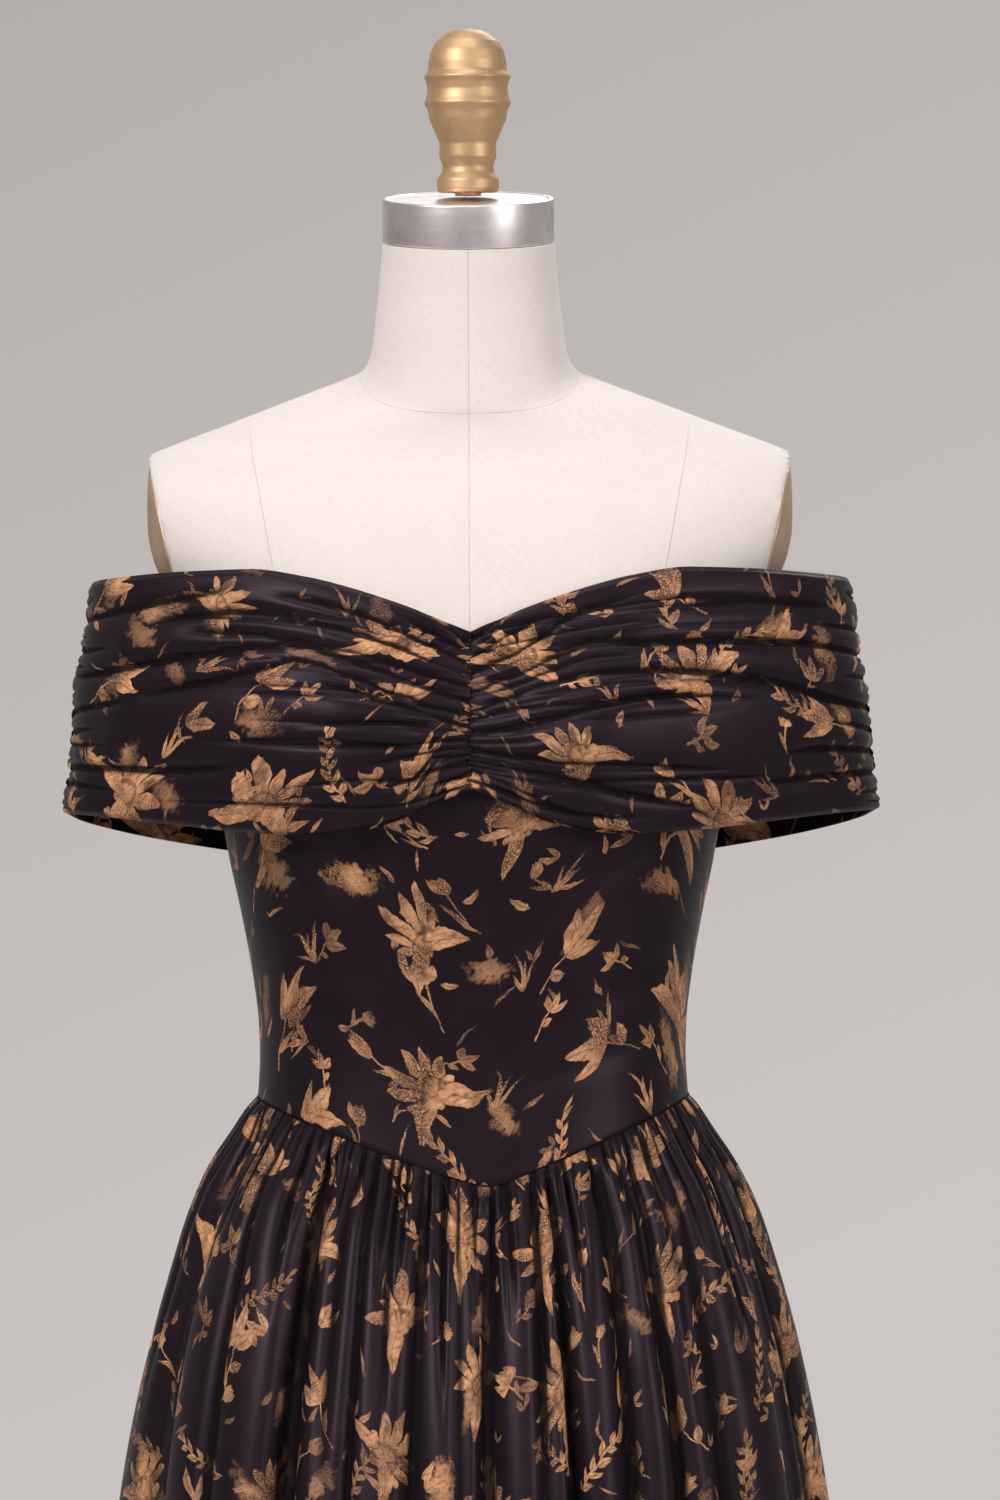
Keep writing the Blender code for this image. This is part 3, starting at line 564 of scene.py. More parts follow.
def grid_faces(rows, columns, first=0, closed=False):
    """Quads between rows of points numbered row by row, as an array of corner numbers."""
    numbers = np.arange(rows * columns).reshape(rows, columns) + first
    if closed:
        numbers = np.concatenate([numbers, numbers[:, :1]], axis=1)
    corners = (numbers[:-1, :-1], numbers[1:, :-1], numbers[1:, 1:], numbers[:-1, 1:])
    return np.stack(corners, axis=-1).reshape(-1, 4)


def add_mesh(name, points, faces, material, uvs=None, sharp_over=None, valley=None):
    """A mesh object that rides on the part. The faces are lists of point numbers, the UVs are one
    pair a point, and `valley` is 1 for a point deep in a fold, which the cloth's material darkens as
    painted shade, where less light comes."""
    mesh = bpy.data.meshes.new(name)
    faces = [tuple(map(int, face)) for face in faces]
    mesh.from_pydata(np.asarray(points).reshape(-1, 3).tolist(), [], faces)
    if uvs is not None:
        corners = np.empty(len(mesh.loops), np.int32)
        mesh.loops.foreach_get("vertex_index", corners)
        layer = mesh.uv_layers.new(name="cloth")
        layer.data.foreach_set("uv", np.asarray(uvs, np.float32).reshape(-1, 2)[corners].ravel())
    if valley is not None:
        layer = mesh.attributes.new("valley", "FLOAT", "POINT")
        layer.data.foreach_set("value", np.asarray(valley, np.float32).ravel())
    mesh.shade_smooth()
    if sharp_over is not None:
        mesh.set_sharp_from_angle(angle=math.radians(sharp_over))
    return add_piece(name, mesh, material)


def add_sheet(name, rows, material, uvs, valley):
    """An open sheet of cloth from a grid of points."""
    count, across = rows.shape[:2]
    return add_mesh(name, rows, grid_faces(count, across), material, uvs, valley=valley)


def rim(outer_end, inner_end, before):
    """Rows that round the edge between the last rows of an outer and an inner face."""
    middle, half = (outer_end + inner_end) / 2, (outer_end - inner_end) / 2
    radius = np.linalg.norm(half, axis=-1, keepdims=True)
    onward = outer_end - before
    onward /= np.linalg.norm(onward, axis=-1, keepdims=True)
    turns = np.linspace(0, math.pi, RIM_STEPS + 2)[1:-1]
    return np.stack([middle + half * math.cos(t) + onward * radius * math.sin(t) for t in turns])


def add_shell(name, outer, inner, material, uvs, valley=0.0):
    """A closed thin wall between two grids of points of one size, with rounded upper and lower
    edges. Its columns are loops down the outer face and up the inner one."""
    low = rim(outer[-1], inner[-1], outer[-2])
    top = rim(inner[0], outer[0], inner[1])
    loop = np.concatenate([outer, low, inner[::-1], top])
    around, across = loop.shape[:2]
    valley_loop = np.zeros((around, across))
    valley_loop[: len(outer)] = valley
    uv_loop = np.concatenate(
        [uvs, np.repeat(uvs[-1:], len(low), 0), uvs[::-1], np.repeat(uvs[:1], len(top), 0)]
    )
    faces = grid_faces(around + 1, across)
    faces = np.where(faces >= around * across, faces - around * across, faces)
    faces = [tuple(face) for face in faces.tolist()]
    first = [i * across for i in range(around)]
    faces.append(tuple(first))
    faces.append(tuple(i + across - 1 for i in reversed(first)))
    return add_mesh(name, loop, faces, material, uv_loop, valley=valley_loop)


def arc_lengths(rows, axis, middle):
    """Metres of cloth along the rows or columns of a grid, 0 at the given index."""
    steps = np.linalg.norm(np.diff(rows, axis=axis), axis=-1)
    total = np.cumsum(steps, axis=axis)
    pad = [(0, 0), (0, 0)]
    pad[axis] = (1, 0)
    total = np.pad(total, pad)
    return total - np.take(total, [middle], axis=axis)


def valley_share(depth, reach, full):
    """1 at a point deeper by `full` than the mean of the rows within reach of it, and 0 at a point
    no deeper than they are."""
    padded = np.pad(depth, ((reach, reach), (0, 0)), mode="edge")
    mean = sum(padded[i : i + len(depth)] for i in range(2 * reach + 1)) / (2 * reach + 1)
    return smoothstep(0.0, 1.0, (depth - mean) / full)


def tilted(ring, place, tilt):
    """Points about the Z axis, tipped forward and moved to their place."""
    x, y, z = ring[..., 0], ring[..., 1], ring[..., 2]
    across = y * math.cos(tilt) - z * math.sin(tilt)
    up = y * math.sin(tilt) + z * math.cos(tilt)
    return np.stack([x + place[0], across + place[1], up + place[2]], axis=-1)


def add_turned(name, profile, around, place, tilt, material, sharp_over=35):
    """A solid of revolution from (radius, height) rows that start and end on flat faces."""
    angles = np.arange(around) * 2 * math.pi / around
    profile = np.asarray(profile)
    radius, height = profile[:, :1], profile[:, 1:]
    x, y = radius * np.sin(angles), -radius * np.cos(angles)
    rings = tilted(np.stack([x, y, height + 0 * x], axis=-1), place, tilt)
    faces = [tuple(face) for face in grid_faces(len(profile), around, closed=True)[:, ::-1]]
    faces.append(tuple(reversed(range(around))))
    faces.append(tuple(range((len(profile) - 1) * around, len(profile) * around)))
    return add_mesh(name, rings, faces, material, sharp_over=sharp_over)


def add_tube(name, path, radius, material):
    """A thin round thread or piping along a path of points."""
    curve = bpy.data.curves.new(name, "CURVE")
    curve.dimensions = "3D"
    curve.bevel_depth = radius
    curve.bevel_resolution = 2
    curve.use_fill_caps = True
    spline = curve.splines.new("POLY")
    spline.points.add(len(path) - 1)
    spline.points.foreach_set("co", np.column_stack([path, np.ones(len(path))]).ravel())
    spline.use_smooth = True
    return add_piece(name, curve, material)


# Cloth pieces


def make_skirt_folds():
    """Every fold's valley: its group, place round the girth, half width, drift and sway down the
    skirt, top, length, strength and skew."""
    chance = np.random.default_rng(FOLD_SEED)
    folds = []
    for group, count, jitter, half_width, tops, lengths, strengths in FOLD_GROUPS:
        for i in range(count):
            place = (i + 0.5 + chance.uniform(-jitter, jitter)) / count
            width = half_width / count * chance.uniform(*FOLD_WIDTHS)
            drift = chance.uniform(-FOLD_DRIFT, FOLD_DRIFT) / count
            sway = chance.uniform(0.0, FOLD_SWAY) / count, chance.uniform(0, 2 * math.pi)
            length = chance.uniform(*lengths)
            strength = chance.uniform(*strengths)
            skew = chance.uniform(-FOLD_SKEW, FOLD_SKEW)
            top = chance.uniform(*tops)
            folds.append((group, place, width, drift, sway, top, length, strength, skew))
    return folds


def skirt_relief(shares, below, folds):
    """How far each point lies inside the flared outline, for rows at depths below the seam, and
    the sum of the depths of the folds up to that point."""
    down = np.asarray(below)[:, None]
    names = FOLD_DEPTH_COLUMNS[1:]
    deep = {name: read_table(FOLD_DEPTHS, FOLD_DEPTH_COLUMNS, name, down) for name in names}
    relief = np.zeros((len(below), len(shares)))
    passed = np.zeros_like(relief)
    for group, place, width, drift, (sway, phase), top, length, strength, skew in folds:
        centre = place + drift * down / FOLD_DRIFT_LENGTH
        centre = centre + sway * np.sin(FOLD_SWAYS_A_METRE * down + phase)
        wide = width * (1 + FOLD_WIDENING * smoothstep(0.05, 0.5, down))
        off = (shares[None, :] - centre + 0.5) % 1.0 - 0.5
        t = off / wide
        past = 0.5 + 0.5 * np.tanh(1.6 * (shares[None, :] - centre) / wide)
        t = t * (1 + skew * np.tanh(t))
        start = smoothstep(top - 0.006, top + 0.014, down) if top > 0.003 else 1.0
        end = 1 - smoothstep(top + 0.45 * length, top + length, down)
        depth = deep[group] * strength * start * end
        relief += depth / (1 + t * t) ** 1.15
        passed += depth * past
    return DEEPEST_FOLD * np.tanh(relief / DEEPEST_FOLD), passed


def skirt_points(shares, below, waist, folds, inside=0.0):
    """The skirt's surface at shares of the girth and depths below the seam, moved in by `inside`."""
    edge, out, girth = waist
    at = np.stack([np.interp(shares, girth, edge[:, i]) for i in range(3)], axis=-1)
    way = np.stack([np.interp(shares, girth, out[:, i]) for i in range(2)], axis=-1)
    way /= np.linalg.norm(way, axis=1)[:, None]
    below = np.asarray(below)[:, None]
    drop = at[None, :, 2] - HEM_Z
    depth = below * (1 + (drop / SKIRT_DROP - 1) * below / SKIRT_DROP)
    move = read_table(FLARE, FLARE_COLUMNS, "flare", depth) - inside
    move = move + CREST_FULLNESS * smoothstep(0.006, 0.05, depth)
    move = move - skirt_relief(shares, below[:, 0], folds)[0]
    flat = at[None, :, :2] + way[None] * move[..., None]
    return np.concatenate([flat, (at[None, :, 2] - depth)[..., None]], axis=-1)


def open_for_zip(rows, below):
    """Draws a back panel's end at the centre back aside for the zip, and closes it below."""
    side = np.sign(rows[..., 0].sum())
    share = 1 - smoothstep(ZIP_FOOT_DEPTH * 0.8, ZIP_FOOT_DEPTH + 0.004, np.asarray(below))[:, None]
    opening = SEAM_GAP / 2 + (HALF_ZIP_OPENING - SEAM_GAP / 2) * share
    x = np.abs(rows[..., 0])
    near = np.clip(1 - x / ZIP_EASING, 0, 1)
    rows[..., 0] = side * np.maximum(x + near * opening, opening)


def skirt_uvs(grid, passed, below, start, at_zip):
    """Metres across and down the cut cloth. What the surface doesn't show of the cut's width is
    shared out over the folds that each point has passed."""
    middle = grid.shape[1] // 2
    across = arc_lengths(grid, 1, middle)
    passed = (passed - passed[:, middle : middle + 1]) / (passed[:, -1:] - passed[:, :1])
    at_waist, at_hem = SKIRT_CUT_BACK if at_zip else SKIRT_CUT_FRONT
    cut = at_waist + (at_hem - at_waist) * below / SKIRT_DROP
    tucked = np.maximum(cut - across[:, -1] + across[:, 0], 0)[:, None]
    across = across + passed * tucked + start * SKIRT_PRINT_SHIFT
    down = -arc_lengths(grid, 0, 0)
    down = np.repeat(down[:, middle : middle + 1], grid.shape[1], axis=1)
    return np.stack([across, down], axis=-1)


def make_skirt_panel(node, start, stop, columns, material, waist, folds, at_zip=False):
    """A skirt panel with its turned hem, between two shares of the girth from the back seam."""
    trim = SEAM_GAP / 2 / WAIST_GIRTH
    shares = np.linspace(start + trim, stop - trim, columns + 1)
    rows = skirt_points(shares, SKIRT_ROWS, waist, folds)
    turn_below = SKIRT_DROP - np.array(HEM_TURN_ROWS)
    turned = skirt_points(shares, turn_below, waist, folds, inside=HEM_WALL)
    turned[0, :, 2] += HEM_FOLD
    if at_zip:
        open_for_zip(rows, SKIRT_ROWS)
    grid = np.concatenate([rows, turned])
    below = np.concatenate([SKIRT_ROWS, turn_below])
    relief, passed = skirt_relief(shares, below, folds)
    # The valleys of the folds get painted shade: this share darkens the cloth's colour there.
    main = read_table(FOLD_DEPTHS, FOLD_DEPTH_COLUMNS, "main", below)
    full = main * SKIRT_VALLEY_SHARE + SKIRT_VALLEY_LEAST
    valley = valley_share(relief.T, SKIRT_VALLEY_REACH, full).T
    uvs = skirt_uvs(grid, passed, below, start, at_zip)
    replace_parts(add_sheet(f"{node}_cloth", grid, material, uvs, valley), node)


def add_creases(height, hidden, along, down, metres_down, creases, fade=0.14, broad=0.38):
    """Adds to `height` the depth of each crease, and to `hidden` the cloth tucked into it. A crease
    runs through its points and fades at an end away from the gathered ends of the piece. `broad` is
    the share of its depth that spreads to three times its width."""
    for points, half_width, depth in creases:
        table = tuple((point[0] + 1e-9 * i, point[1]) for i, point in enumerate(points))
        first, last = table[0][0], table[-1][0]
        path = read_table(table, ("along", "down"), "down", along)
        t = (down - path) * metres_down / (half_width / 1000 * CREASE_WIDTH)
        start = 1.0 if first < 0.01 else smoothstep(first - 0.02, first + fade, along)
        end = 1.0 if last > 0.99 else 1 - smoothstep(last - fade, last + 0.02, along)
        deep = depth / 1000 * CREASE_DEPTH * start * end
        height += deep * ((1 - broad) / (1 + t * t) ** 1.3 + broad / (1 + t * t / 9))
        hidden += deep * (0.5 + 0.5 * np.tanh(1.6 * t))


def small_gathers(seed, count, from_start, from_centre=False):
    """Short creases at a gathered end, at uneven places and lengths."""
    chance = np.random.default_rng(seed)
    rows = []
    for i in range(count):
        down = (i + 0.5 + chance.uniform(-0.35, 0.35)) / count
        length = chance.uniform(0.035, 0.13)
        bend = chance.uniform(-0.03, 0.03) - 0.05 * from_start * (down < 0.7)
        points = ((0.0, down), (length, down + bend))
        if not from_start:
            points = ((1 - length, down + bend), (1.0, down))
        depth = chance.uniform(1.0, 2.1) if from_centre else chance.uniform(0.6, 1.3)
        rows.append((points, chance.uniform(0.9, 1.6), depth))
    return tuple(rows)


def long_creases(seed, count):
    """Fine creases that run from the centre gather towards the arm, at uneven places."""
    chance = np.random.default_rng(seed)
    rows = []
    for i in range(count):
        down = (i + 0.5 + chance.uniform(-0.4, 0.4)) / count
        length = chance.uniform(0.22, 0.75)
        middle = down + (0.30 - down) * chance.uniform(0.0, 0.35)
        points = ((0.0, down), (length * 0.5, middle), (length, middle + chance.uniform(-0.02, 0.06)))
        rows.append((points, chance.uniform(1.2, 2.2), chance.uniform(0.7, 1.7)))
    return tuple(rows)


def band_half(columns, first, last):
    """The base surface of part of the wearer's left half, between two distances along it given as
    station numbers, with the way out at each point."""
    stations = np.array(BAND_STATIONS)
    steps = np.linalg.norm(np.diff(stations[:, 3:6], axis=0), axis=1)
    along = np.concatenate([[0], np.cumsum(steps)])
    total = np.linspace(0, along[-1], BAND_SAMPLES)
    curves = [
        read_table(np.column_stack([along, column]), ("along", "value"), "value", total)
        for column in stations.T
    ]
    top, middle, low = np.stack(curves, axis=-1).reshape(-1, 3, 3).transpose(1, 0, 2)
    downs = np.linspace(0, 1, BAND_ROWS + 1)[:, None, None]
    rows = top * (1 - downs) * (1 - 2 * downs)
    rows = rows + middle * 4 * downs * (1 - downs) + low * downs * (2 * downs - 1)
    mirror = np.array([-1, 1, 1])
    padded = np.concatenate([rows[:, 1:2] * mirror, rows, rows[:, -2:-1] * mirror], axis=1)
    out = np.cross(np.gradient(rows, axis=0), np.gradient(padded, axis=1)[:, 1:-1])
    out /= np.linalg.norm(out, axis=-1, keepdims=True)
    at = np.linspace(along[first], along[last], columns + 1)
    sample = np.interp(at, total, np.arange(BAND_SAMPLES))
    before = np.floor(sample).astype(int).clip(0, BAND_SAMPLES - 2)
    part = (sample - before)[None, :, None]
    rows = rows[:, before] * (1 - part) + rows[:, before + 1] * part
    out = out[:, before] * (1 - part) + out[:, before + 1] * part
    return rows, out, at


def band_puff(front, along, down):
    """How far the cloth stands off the band's base surface between its creases."""
    puffs = PUFF_FRONT if front else PUFF_BACK
    top, bust, low = (read_table(puffs, PUFF_COLUMNS, column, along) for column in PUFF_COLUMNS[1:])
    return np.where(
        down < 0.6,
        top + (bust - top) * smoothstep(0.2, 0.6, down),
        bust + (low - bust) * smoothstep(0.6, 0.9, down),
    )


def band_creases(front, creases, seed, along, down, tall):
    """The depth of a band piece's creases and gathers, and the cloth tucked into them."""
    sunk = np.zeros((down.size, along.size))
    hidden = np.zeros_like(sunk)
    add_creases(sunk, hidden, along, down, tall, creases)
    arm_gathers = small_gathers(seed + 1, ARM_GATHERS, not front)
    add_creases(sunk, hidden, along, down, tall, arm_gathers, fade=0.05, broad=0.15)
    if front:
        centre_gathers = small_gathers(seed, CENTRE_GATHERS, True, from_centre=True)
        add_creases(sunk, hidden, along, down, tall, centre_gathers, fade=0.06, broad=0.12)
        fine_creases = long_creases(seed + 2, LONG_CREASES)
        add_creases(sunk, hidden, along, down, tall, fine_creases, fade=0.20, broad=0.15)
        near_seam = np.exp(-((along / CENTRE_SEAM_SHARE) ** 2))
        sunk += CENTRE_SEAM_DEPTH * near_seam * smoothstep(0, 0.06, down)
    return sunk, hidden


def wander_centre(faces, metres, down):
    """Makes the centre front seam wander a little from side to side."""
    wander = 0.0012 * np.sin(50 * down + 1) + 0.0008 * np.sin(111 * down)
    near = wander * np.exp(-((metres[None, :] / 0.008) ** 2))
    for face in faces:
        face[..., 0] += near


def make_band(node, side, front, creases, material, seed):
    """One quarter of the ruched band as a closed thin shell."""
    columns = BAND_COLUMNS_FRONT if front else BAND_COLUMNS_BACK
    first, last = (0, ARM_STATION) if front else (ARM_STATION, len(BAND_STATIONS) - 1)
    rows, out, metres = band_half(columns, first, last)
    along = np.linspace(0, 1, columns + 1)[None, :]
    down = np.linspace(0, 1, BAND_ROWS + 1)[:, None]
    tall = np.linalg.norm(np.diff(rows, axis=0), axis=-1).sum(axis=0)[None, :]
    sunk, hidden = band_creases(front, creases, seed, along, down, tall)
    # The valleys of the creases get painted shade: this share darkens the cloth's colour there.
    valley = valley_share(sunk, BAND_VALLEY_REACH, BAND_VALLEY_DEPTH)
    sunk = DEEPEST_CREASE * np.tanh(sunk / DEEPEST_CREASE)
    edge = smoothstep(0, 0.02, down) * smoothstep(0, 0.02, 1 - down)
    lift = band_puff(front, along, down) + BAND_LIFT
    height = lift * (0.45 + 0.55 * edge) - sunk * (0.35 + 0.65 * edge)
    inner_height = np.minimum(height - BAND_LEAST_WALL, BAND_INNER_FACE)
    mirror = np.array([side, 1, 1])
    outer = (rows + out * height[..., None]) * mirror
    inner = (rows + out * inner_height[..., None]) * mirror
    for end, beside in ((0, 1), (-1, -2)):
        for face in (outer, inner):
            way = face[:, beside] - face[:, end]
            face[:, end] += way / np.linalg.norm(way, axis=1)[:, None] * SEAM_GAP
    across = np.repeat(side * metres[None, :], BAND_ROWS + 1, axis=0)
    downward = -arc_lengths(outer, 0, BAND_ROWS // 2) - hidden
    uvs = np.stack([across, downward], axis=-1) + BAND_PRINT_PLACE
    if front:
        wander_centre((outer, inner), metres, down)
    if side < 0:
        outer, inner, uvs, valley = (grid[:, ::-1] for grid in (outer, inner, uvs, valley))
    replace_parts(add_shell(f"{node}_cloth", outer, inner, material, uvs, valley), node)


def bodice_relief(points):
    """Depth of the bodice's soft creases at each point."""
    relief = np.zeros(points.shape[:-1])
    x, z = points[..., 0], points[..., 2]
    for (x0, z0), (x1, z1), half_width, depth in BODICE_CREASES:
        length = math.hypot(x1 - x0, z1 - z0)
        along = ((x - x0) * (x1 - x0) + (z - z0) * (z1 - z0)) / length**2
        off = ((x - x0) * (z1 - z0) - (z - z0) * (x1 - x0)) / length
        ends = smoothstep(-0.25, 0.35, along) * smoothstep(-0.25, 0.35, 1 - along)
        relief += depth / 1000 * ends * np.exp(-((off / (half_width / 1000)) ** 2))
    return relief


def part_for_zip(face, end):
    """Draws a back panel's end column at the centre back aside for the zip."""
    side = np.sign(face[..., 0].sum())
    x = np.abs(face[..., 0])
    near = np.clip(1 - x / ZIP_EASING, 0, 1)
    face[..., 0] = side * np.maximum(x + near * HALF_ZIP_OPENING, HALF_ZIP_OPENING)
    face[:, end, 0] = side * HALF_ZIP_OPENING


def make_bodice_panel(node, start, stop, columns, rows, material, at_zip=False):
    """A fitted panel of the bodice as a closed thin shell, between two angles round the form."""
    trim = SEAM_GAP / 2 / BODICE_RADIUS
    angles = np.linspace(start + trim, stop - trim, columns + 1)[None, :]
    shares = np.linspace(0, 1, rows + 1)[:, None]
    top, foot = bodice_top_z(angles), waist_z(angles) + WAIST_GAP / 2
    level = top + (foot - top) * shares
    faces = [body_point(angles, level, out) for out in (BODICE_EASE + BODICE_WALL, BODICE_EASE)]
    if at_zip:
        for face in faces:
            part_for_zip(face, 0 if start == math.pi else -1)
    else:
        relief = bodice_relief(faces[0])
        for face in faces:
            face[..., 1] += relief * BODICE_CREASE_DEPTH
    outer, inner = faces
    print_place = (start + stop) / 2 * BODICE_PRINT_STEP + BODICE_PRINT_PLACE
    across = arc_lengths(outer, 1, columns // 2) + print_place
    down = -arc_lengths(outer, 0, 0)
    uvs = np.stack([across, down], axis=-1)
    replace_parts(add_shell(f"{node}_cloth", outer, inner, material, uvs), node)


def make_waist_seam(material):
    """The thin rolled seam between bodice and skirt, from one side of the zip to the other."""
    stop = math.pi - HALF_ZIP_OPENING / WAIST_RADIUS
    angles = np.linspace(-stop, stop, 400)
    path = body_point(angles, waist_z(angles), BODICE_EASE + BODICE_WALL - 0.0001)
    path[:, 2] = waist_z(angles)
    return add_tube("waist_seam", path, 0.0008, material)


def zip_path(waist, count):
    """Points down the centre back, from the bodice's top edge into the skirt."""
    back = np.full(1, math.pi)
    top, foot = bodice_top_z(back), waist_z(back)
    middle = BODICE_EASE + BODICE_WALL / 2
    upper = np.concatenate([body_point(back, top + (foot - top) * t, middle) for t in np.linspace(0, 1, 40)])
    depths = np.linspace(0.004, ZIP_FOOT_DEPTH, 20)
    lower = skirt_points(np.zeros(1), depths, waist, [], inside=0.0006)[:, 0]
    path = np.concatenate([upper, lower])
    path[:, 0] = 0.0
    length = np.concatenate([[0], np.cumsum(np.linalg.norm(np.diff(path, axis=0), axis=1))])
    at = np.linspace(0, length[-1], count)
    return np.stack([np.interp(at, length, path[:, i]) for i in range(3)], axis=-1), length[-1]


def ways_along(path):
    """The way along a path in the YZ plane at each of its points, and the way out from the back."""
    way = np.gradient(path, axis=0)
    way /= np.linalg.norm(way, axis=1)[:, None]
    return way, np.stack([0 * way[:, 0], -way[:, 2], way[:, 1]], axis=-1)


# A small box has its corners cut off and its outer face drawn in. Each layer is a height over its
# middle and a share of its outline.
BOX_OUTLINE = ((-1, -0.7), (-0.7, -1), (0.7, -1), (1, -0.7), (1, 0.7), (0.7, 1), (-0.7, 1), (-1, 0.7))
BOX_LAYERS = ((-1.0, 1.0), (0.5, 1.0), (1.0, 0.6))


def put_box(points, faces, place, way, out, size, aside=0.0):
    """Adds a small box to lists of points and faces, its length along `way` and its front `out`."""
    corners, first = len(BOX_OUTLINE), len(points)
    wide, tall, thick = (whole / 2 for whole in size)
    for height, share in BOX_LAYERS:
        for a, b in BOX_OUTLINE:
            spot = place + way * b * tall * share + out * height * thick
            points.append((aside + a * wide * share, spot[1], spot[2]))
    last = len(points)
    rings = grid_faces(len(BOX_LAYERS), corners, first, closed=True)
    faces += [tuple(face) for face in rings.tolist()]
    faces.append(tuple(range(first, first + corners)))
    faces.append(tuple(reversed(range(last - corners, last))))


def make_zip_tape(path, tape):
    """The closed tapes as one strip that narrows at its foot."""
    out = ways_along(path)[1]
    narrow = 1 - 0.86 * smoothstep(0.93, 1.0, np.linspace(0, 1, len(path)))
    rows = []
    for share, lift in ZIP_TAPE_SECTION:
        row = path + out * lift
        row[:, 0] = share * (ZIP_WIDTH / 2 - 0.0001) * narrow
        rows.append(row)
    outer = np.stack(rows, axis=1)
    inner = outer - out[:, None, :] * ZIP_TAPE_WALL
    uvs = np.stack([arc_lengths(outer, 1, 2), -arc_lengths(outer, 0, 0)], axis=-1)
    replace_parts(add_shell("zip_tape", outer, inner, tape, uvs), "back_zip")


def make_zip_teeth(path, length, tape):
    """Two rows of teeth that mesh, down all but the foot of the zip."""
    count = int(length * 0.95 / TOOTH_PITCH)
    points, faces = [], []
    for side in (-1, 1):
        along = (np.arange(count) + 0.5 + 0.25 * side) * TOOTH_PITCH / length * (len(path) - 1)
        columns = [np.interp(along, np.arange(len(path)), path[:, i]) for i in range(3)]
        places = np.stack(columns, axis=-1)
        for place, way, out in zip(places, *ways_along(places)):
            lifted = place + (0, TOOTH_LIFT, 0)
            put_box(points, faces, lifted, way, out, TOOTH_SIZE, side * TOOTH_SIDE)
    add_mesh("zip_teeth", points, faces, tape, sharp_over=40)


def make_zip_slider(path, metal):
    """The slider at the top of the zip, with its pull hanging down."""
    down, out = np.array([0, 0, -1]), np.array([0, 1, 0])
    middle = path[2:4].mean(axis=0)
    points, faces = [], []
    put_box(points, faces, middle + (0, SLIDER_LIFT, 0), down, out, SLIDER_SIZE)
    put_box(points, faces, middle + (0, PULL_LIFT, -PULL_DROP), down, out, PULL_SIZE)
    add_mesh("zip_slider", points, faces, metal, sharp_over=40)


def make_zip(tape, metal, waist):
    """Tapes, teeth and a slider with its pull, down the centre back."""
    path, length = zip_path(waist, 120)
    make_zip_tape(path, tape)
    make_zip_teeth(path, length, tape)
    make_zip_slider(path, metal)


# Form pieces


def make_torso(linen, thread):
    """The cover, flat at the armholes, with its sewn seams."""
    angles = np.arange(TORSO_SIDES) * 2 * math.pi / TORSO_SIDES
    table = np.array(FORM_SECTIONS)
    spans = np.hypot(np.diff(table[:, 0]), np.diff(table[:, 1]))
    counts = np.maximum(2, np.round(spans / TORSO_ROW)).astype(int)
    levels = [np.linspace(a, b, n, endpoint=False) for a, b, n in zip(table[:-1, 0], table[1:, 0], counts)]
    levels = np.concatenate([*levels, table[-1:, 0]])
    rings = body_point(angles[None, :], levels[:, None])
    limit = armhole_x(rings[..., 2])
    upper = (levels > BUST_APEX_Z)[:, None]
    rings[..., 0] = np.where(upper, np.clip(rings[..., 0], -limit, limit), rings[..., 0])
    last_ring = (len(levels) - 1) * TORSO_SIDES
    faces = [tuple(face) for face in grid_faces(len(levels), TORSO_SIDES, closed=True)[:, ::-1]]
    faces.append(tuple(range(TORSO_SIDES)))
    faces.append(tuple(reversed(range(last_ring, last_ring + TORSO_SIDES))))
    closed = np.concatenate([rings, rings[:, :1]], axis=1)
    across = arc_lengths(closed, 1, 0)[:, :-1]
    down = np.repeat(arc_lengths(rings, 0, 0)[:, :1], TORSO_SIDES, axis=1)
    uvs = np.stack([across, down], axis=-1)
    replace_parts(add_mesh("form_cover", rings, faces, linen, uvs=uvs, sharp_over=40), "form_torso")
    for name, path in form_seams().items():
        add_tube(name, path, FORM_SEAM_RADIUS, thread)


def seam_at(x, levels, front=True):
    """Points of the form's front or back at the given x, level by level."""
    levels = np.asarray(levels, float)
    half_width = read_table(FORM_SECTIONS, FORM_COLUMNS, "half_width", levels)
    share = np.clip(np.asarray(x) / half_width, -1, 1)
    angle = np.arcsin(signed_power(share, SECTION_ROUNDNESS / 2))
    if not front:
        angle = math.pi - angle
    return body_point(angle, levels, FORM_SEAM_LIFT)


def form_seams():
    """The cover's sewn seams, as paths on its surface."""
    seams = {}
    neck, foot = FORM_SECTIONS[-1][0], 0.80
    levels = np.linspace(neck, foot, 240)
    for name, front in (("seam_centre_front", True), ("seam_centre_back", False)):
        seams[name] = seam_at(np.zeros(240), levels, front)
    princess = np.linspace(PRINCESS_FRONT[-1][0], foot, 200)
    for word, side in (("left", 1), ("right", -1)):
        for name, table, front in (("front", PRINCESS_FRONT, True), ("back", PRINCESS_BACK, False)):
            x = read_table(table, ("level", "x"), "x", princess)
            seams[f"seam_princess_{name}_{word}"] = seam_at(side * x, princess, front)
        shoulder = np.linspace(NECK_SEAM_LEVEL, SHOULDER_TIP_Z, 60)
        path = body_point(np.full(60, side * math.pi / 2), shoulder, FORM_SEAM_LIFT)
        seams[f"seam_shoulder_{word}"] = path[np.abs(path[:, 0]) < armhole_x(path[:, 2])]
        side_levels = np.linspace(1.335, foot, 120)
        seams[f"seam_side_{word}"] = body_point(np.full(120, side * math.pi / 2), side_levels, FORM_SEAM_LIFT)
    around = np.linspace(0, 2 * math.pi, 160)
    level = NECK_SEAM_LEVEL - NECK_SEAM_DIP * np.maximum(np.cos(around), 0) ** 2
    seams["seam_neck"] = body_point(around, level, FORM_SEAM_LIFT)
    return seams


def neck_top():
    """The middle of the neck's upper face."""
    last = FORM_SECTIONS[-1]
    middle_y = (last[3] - last[2]) / 2
    return middle_y, last[0] + last[4] * middle_y


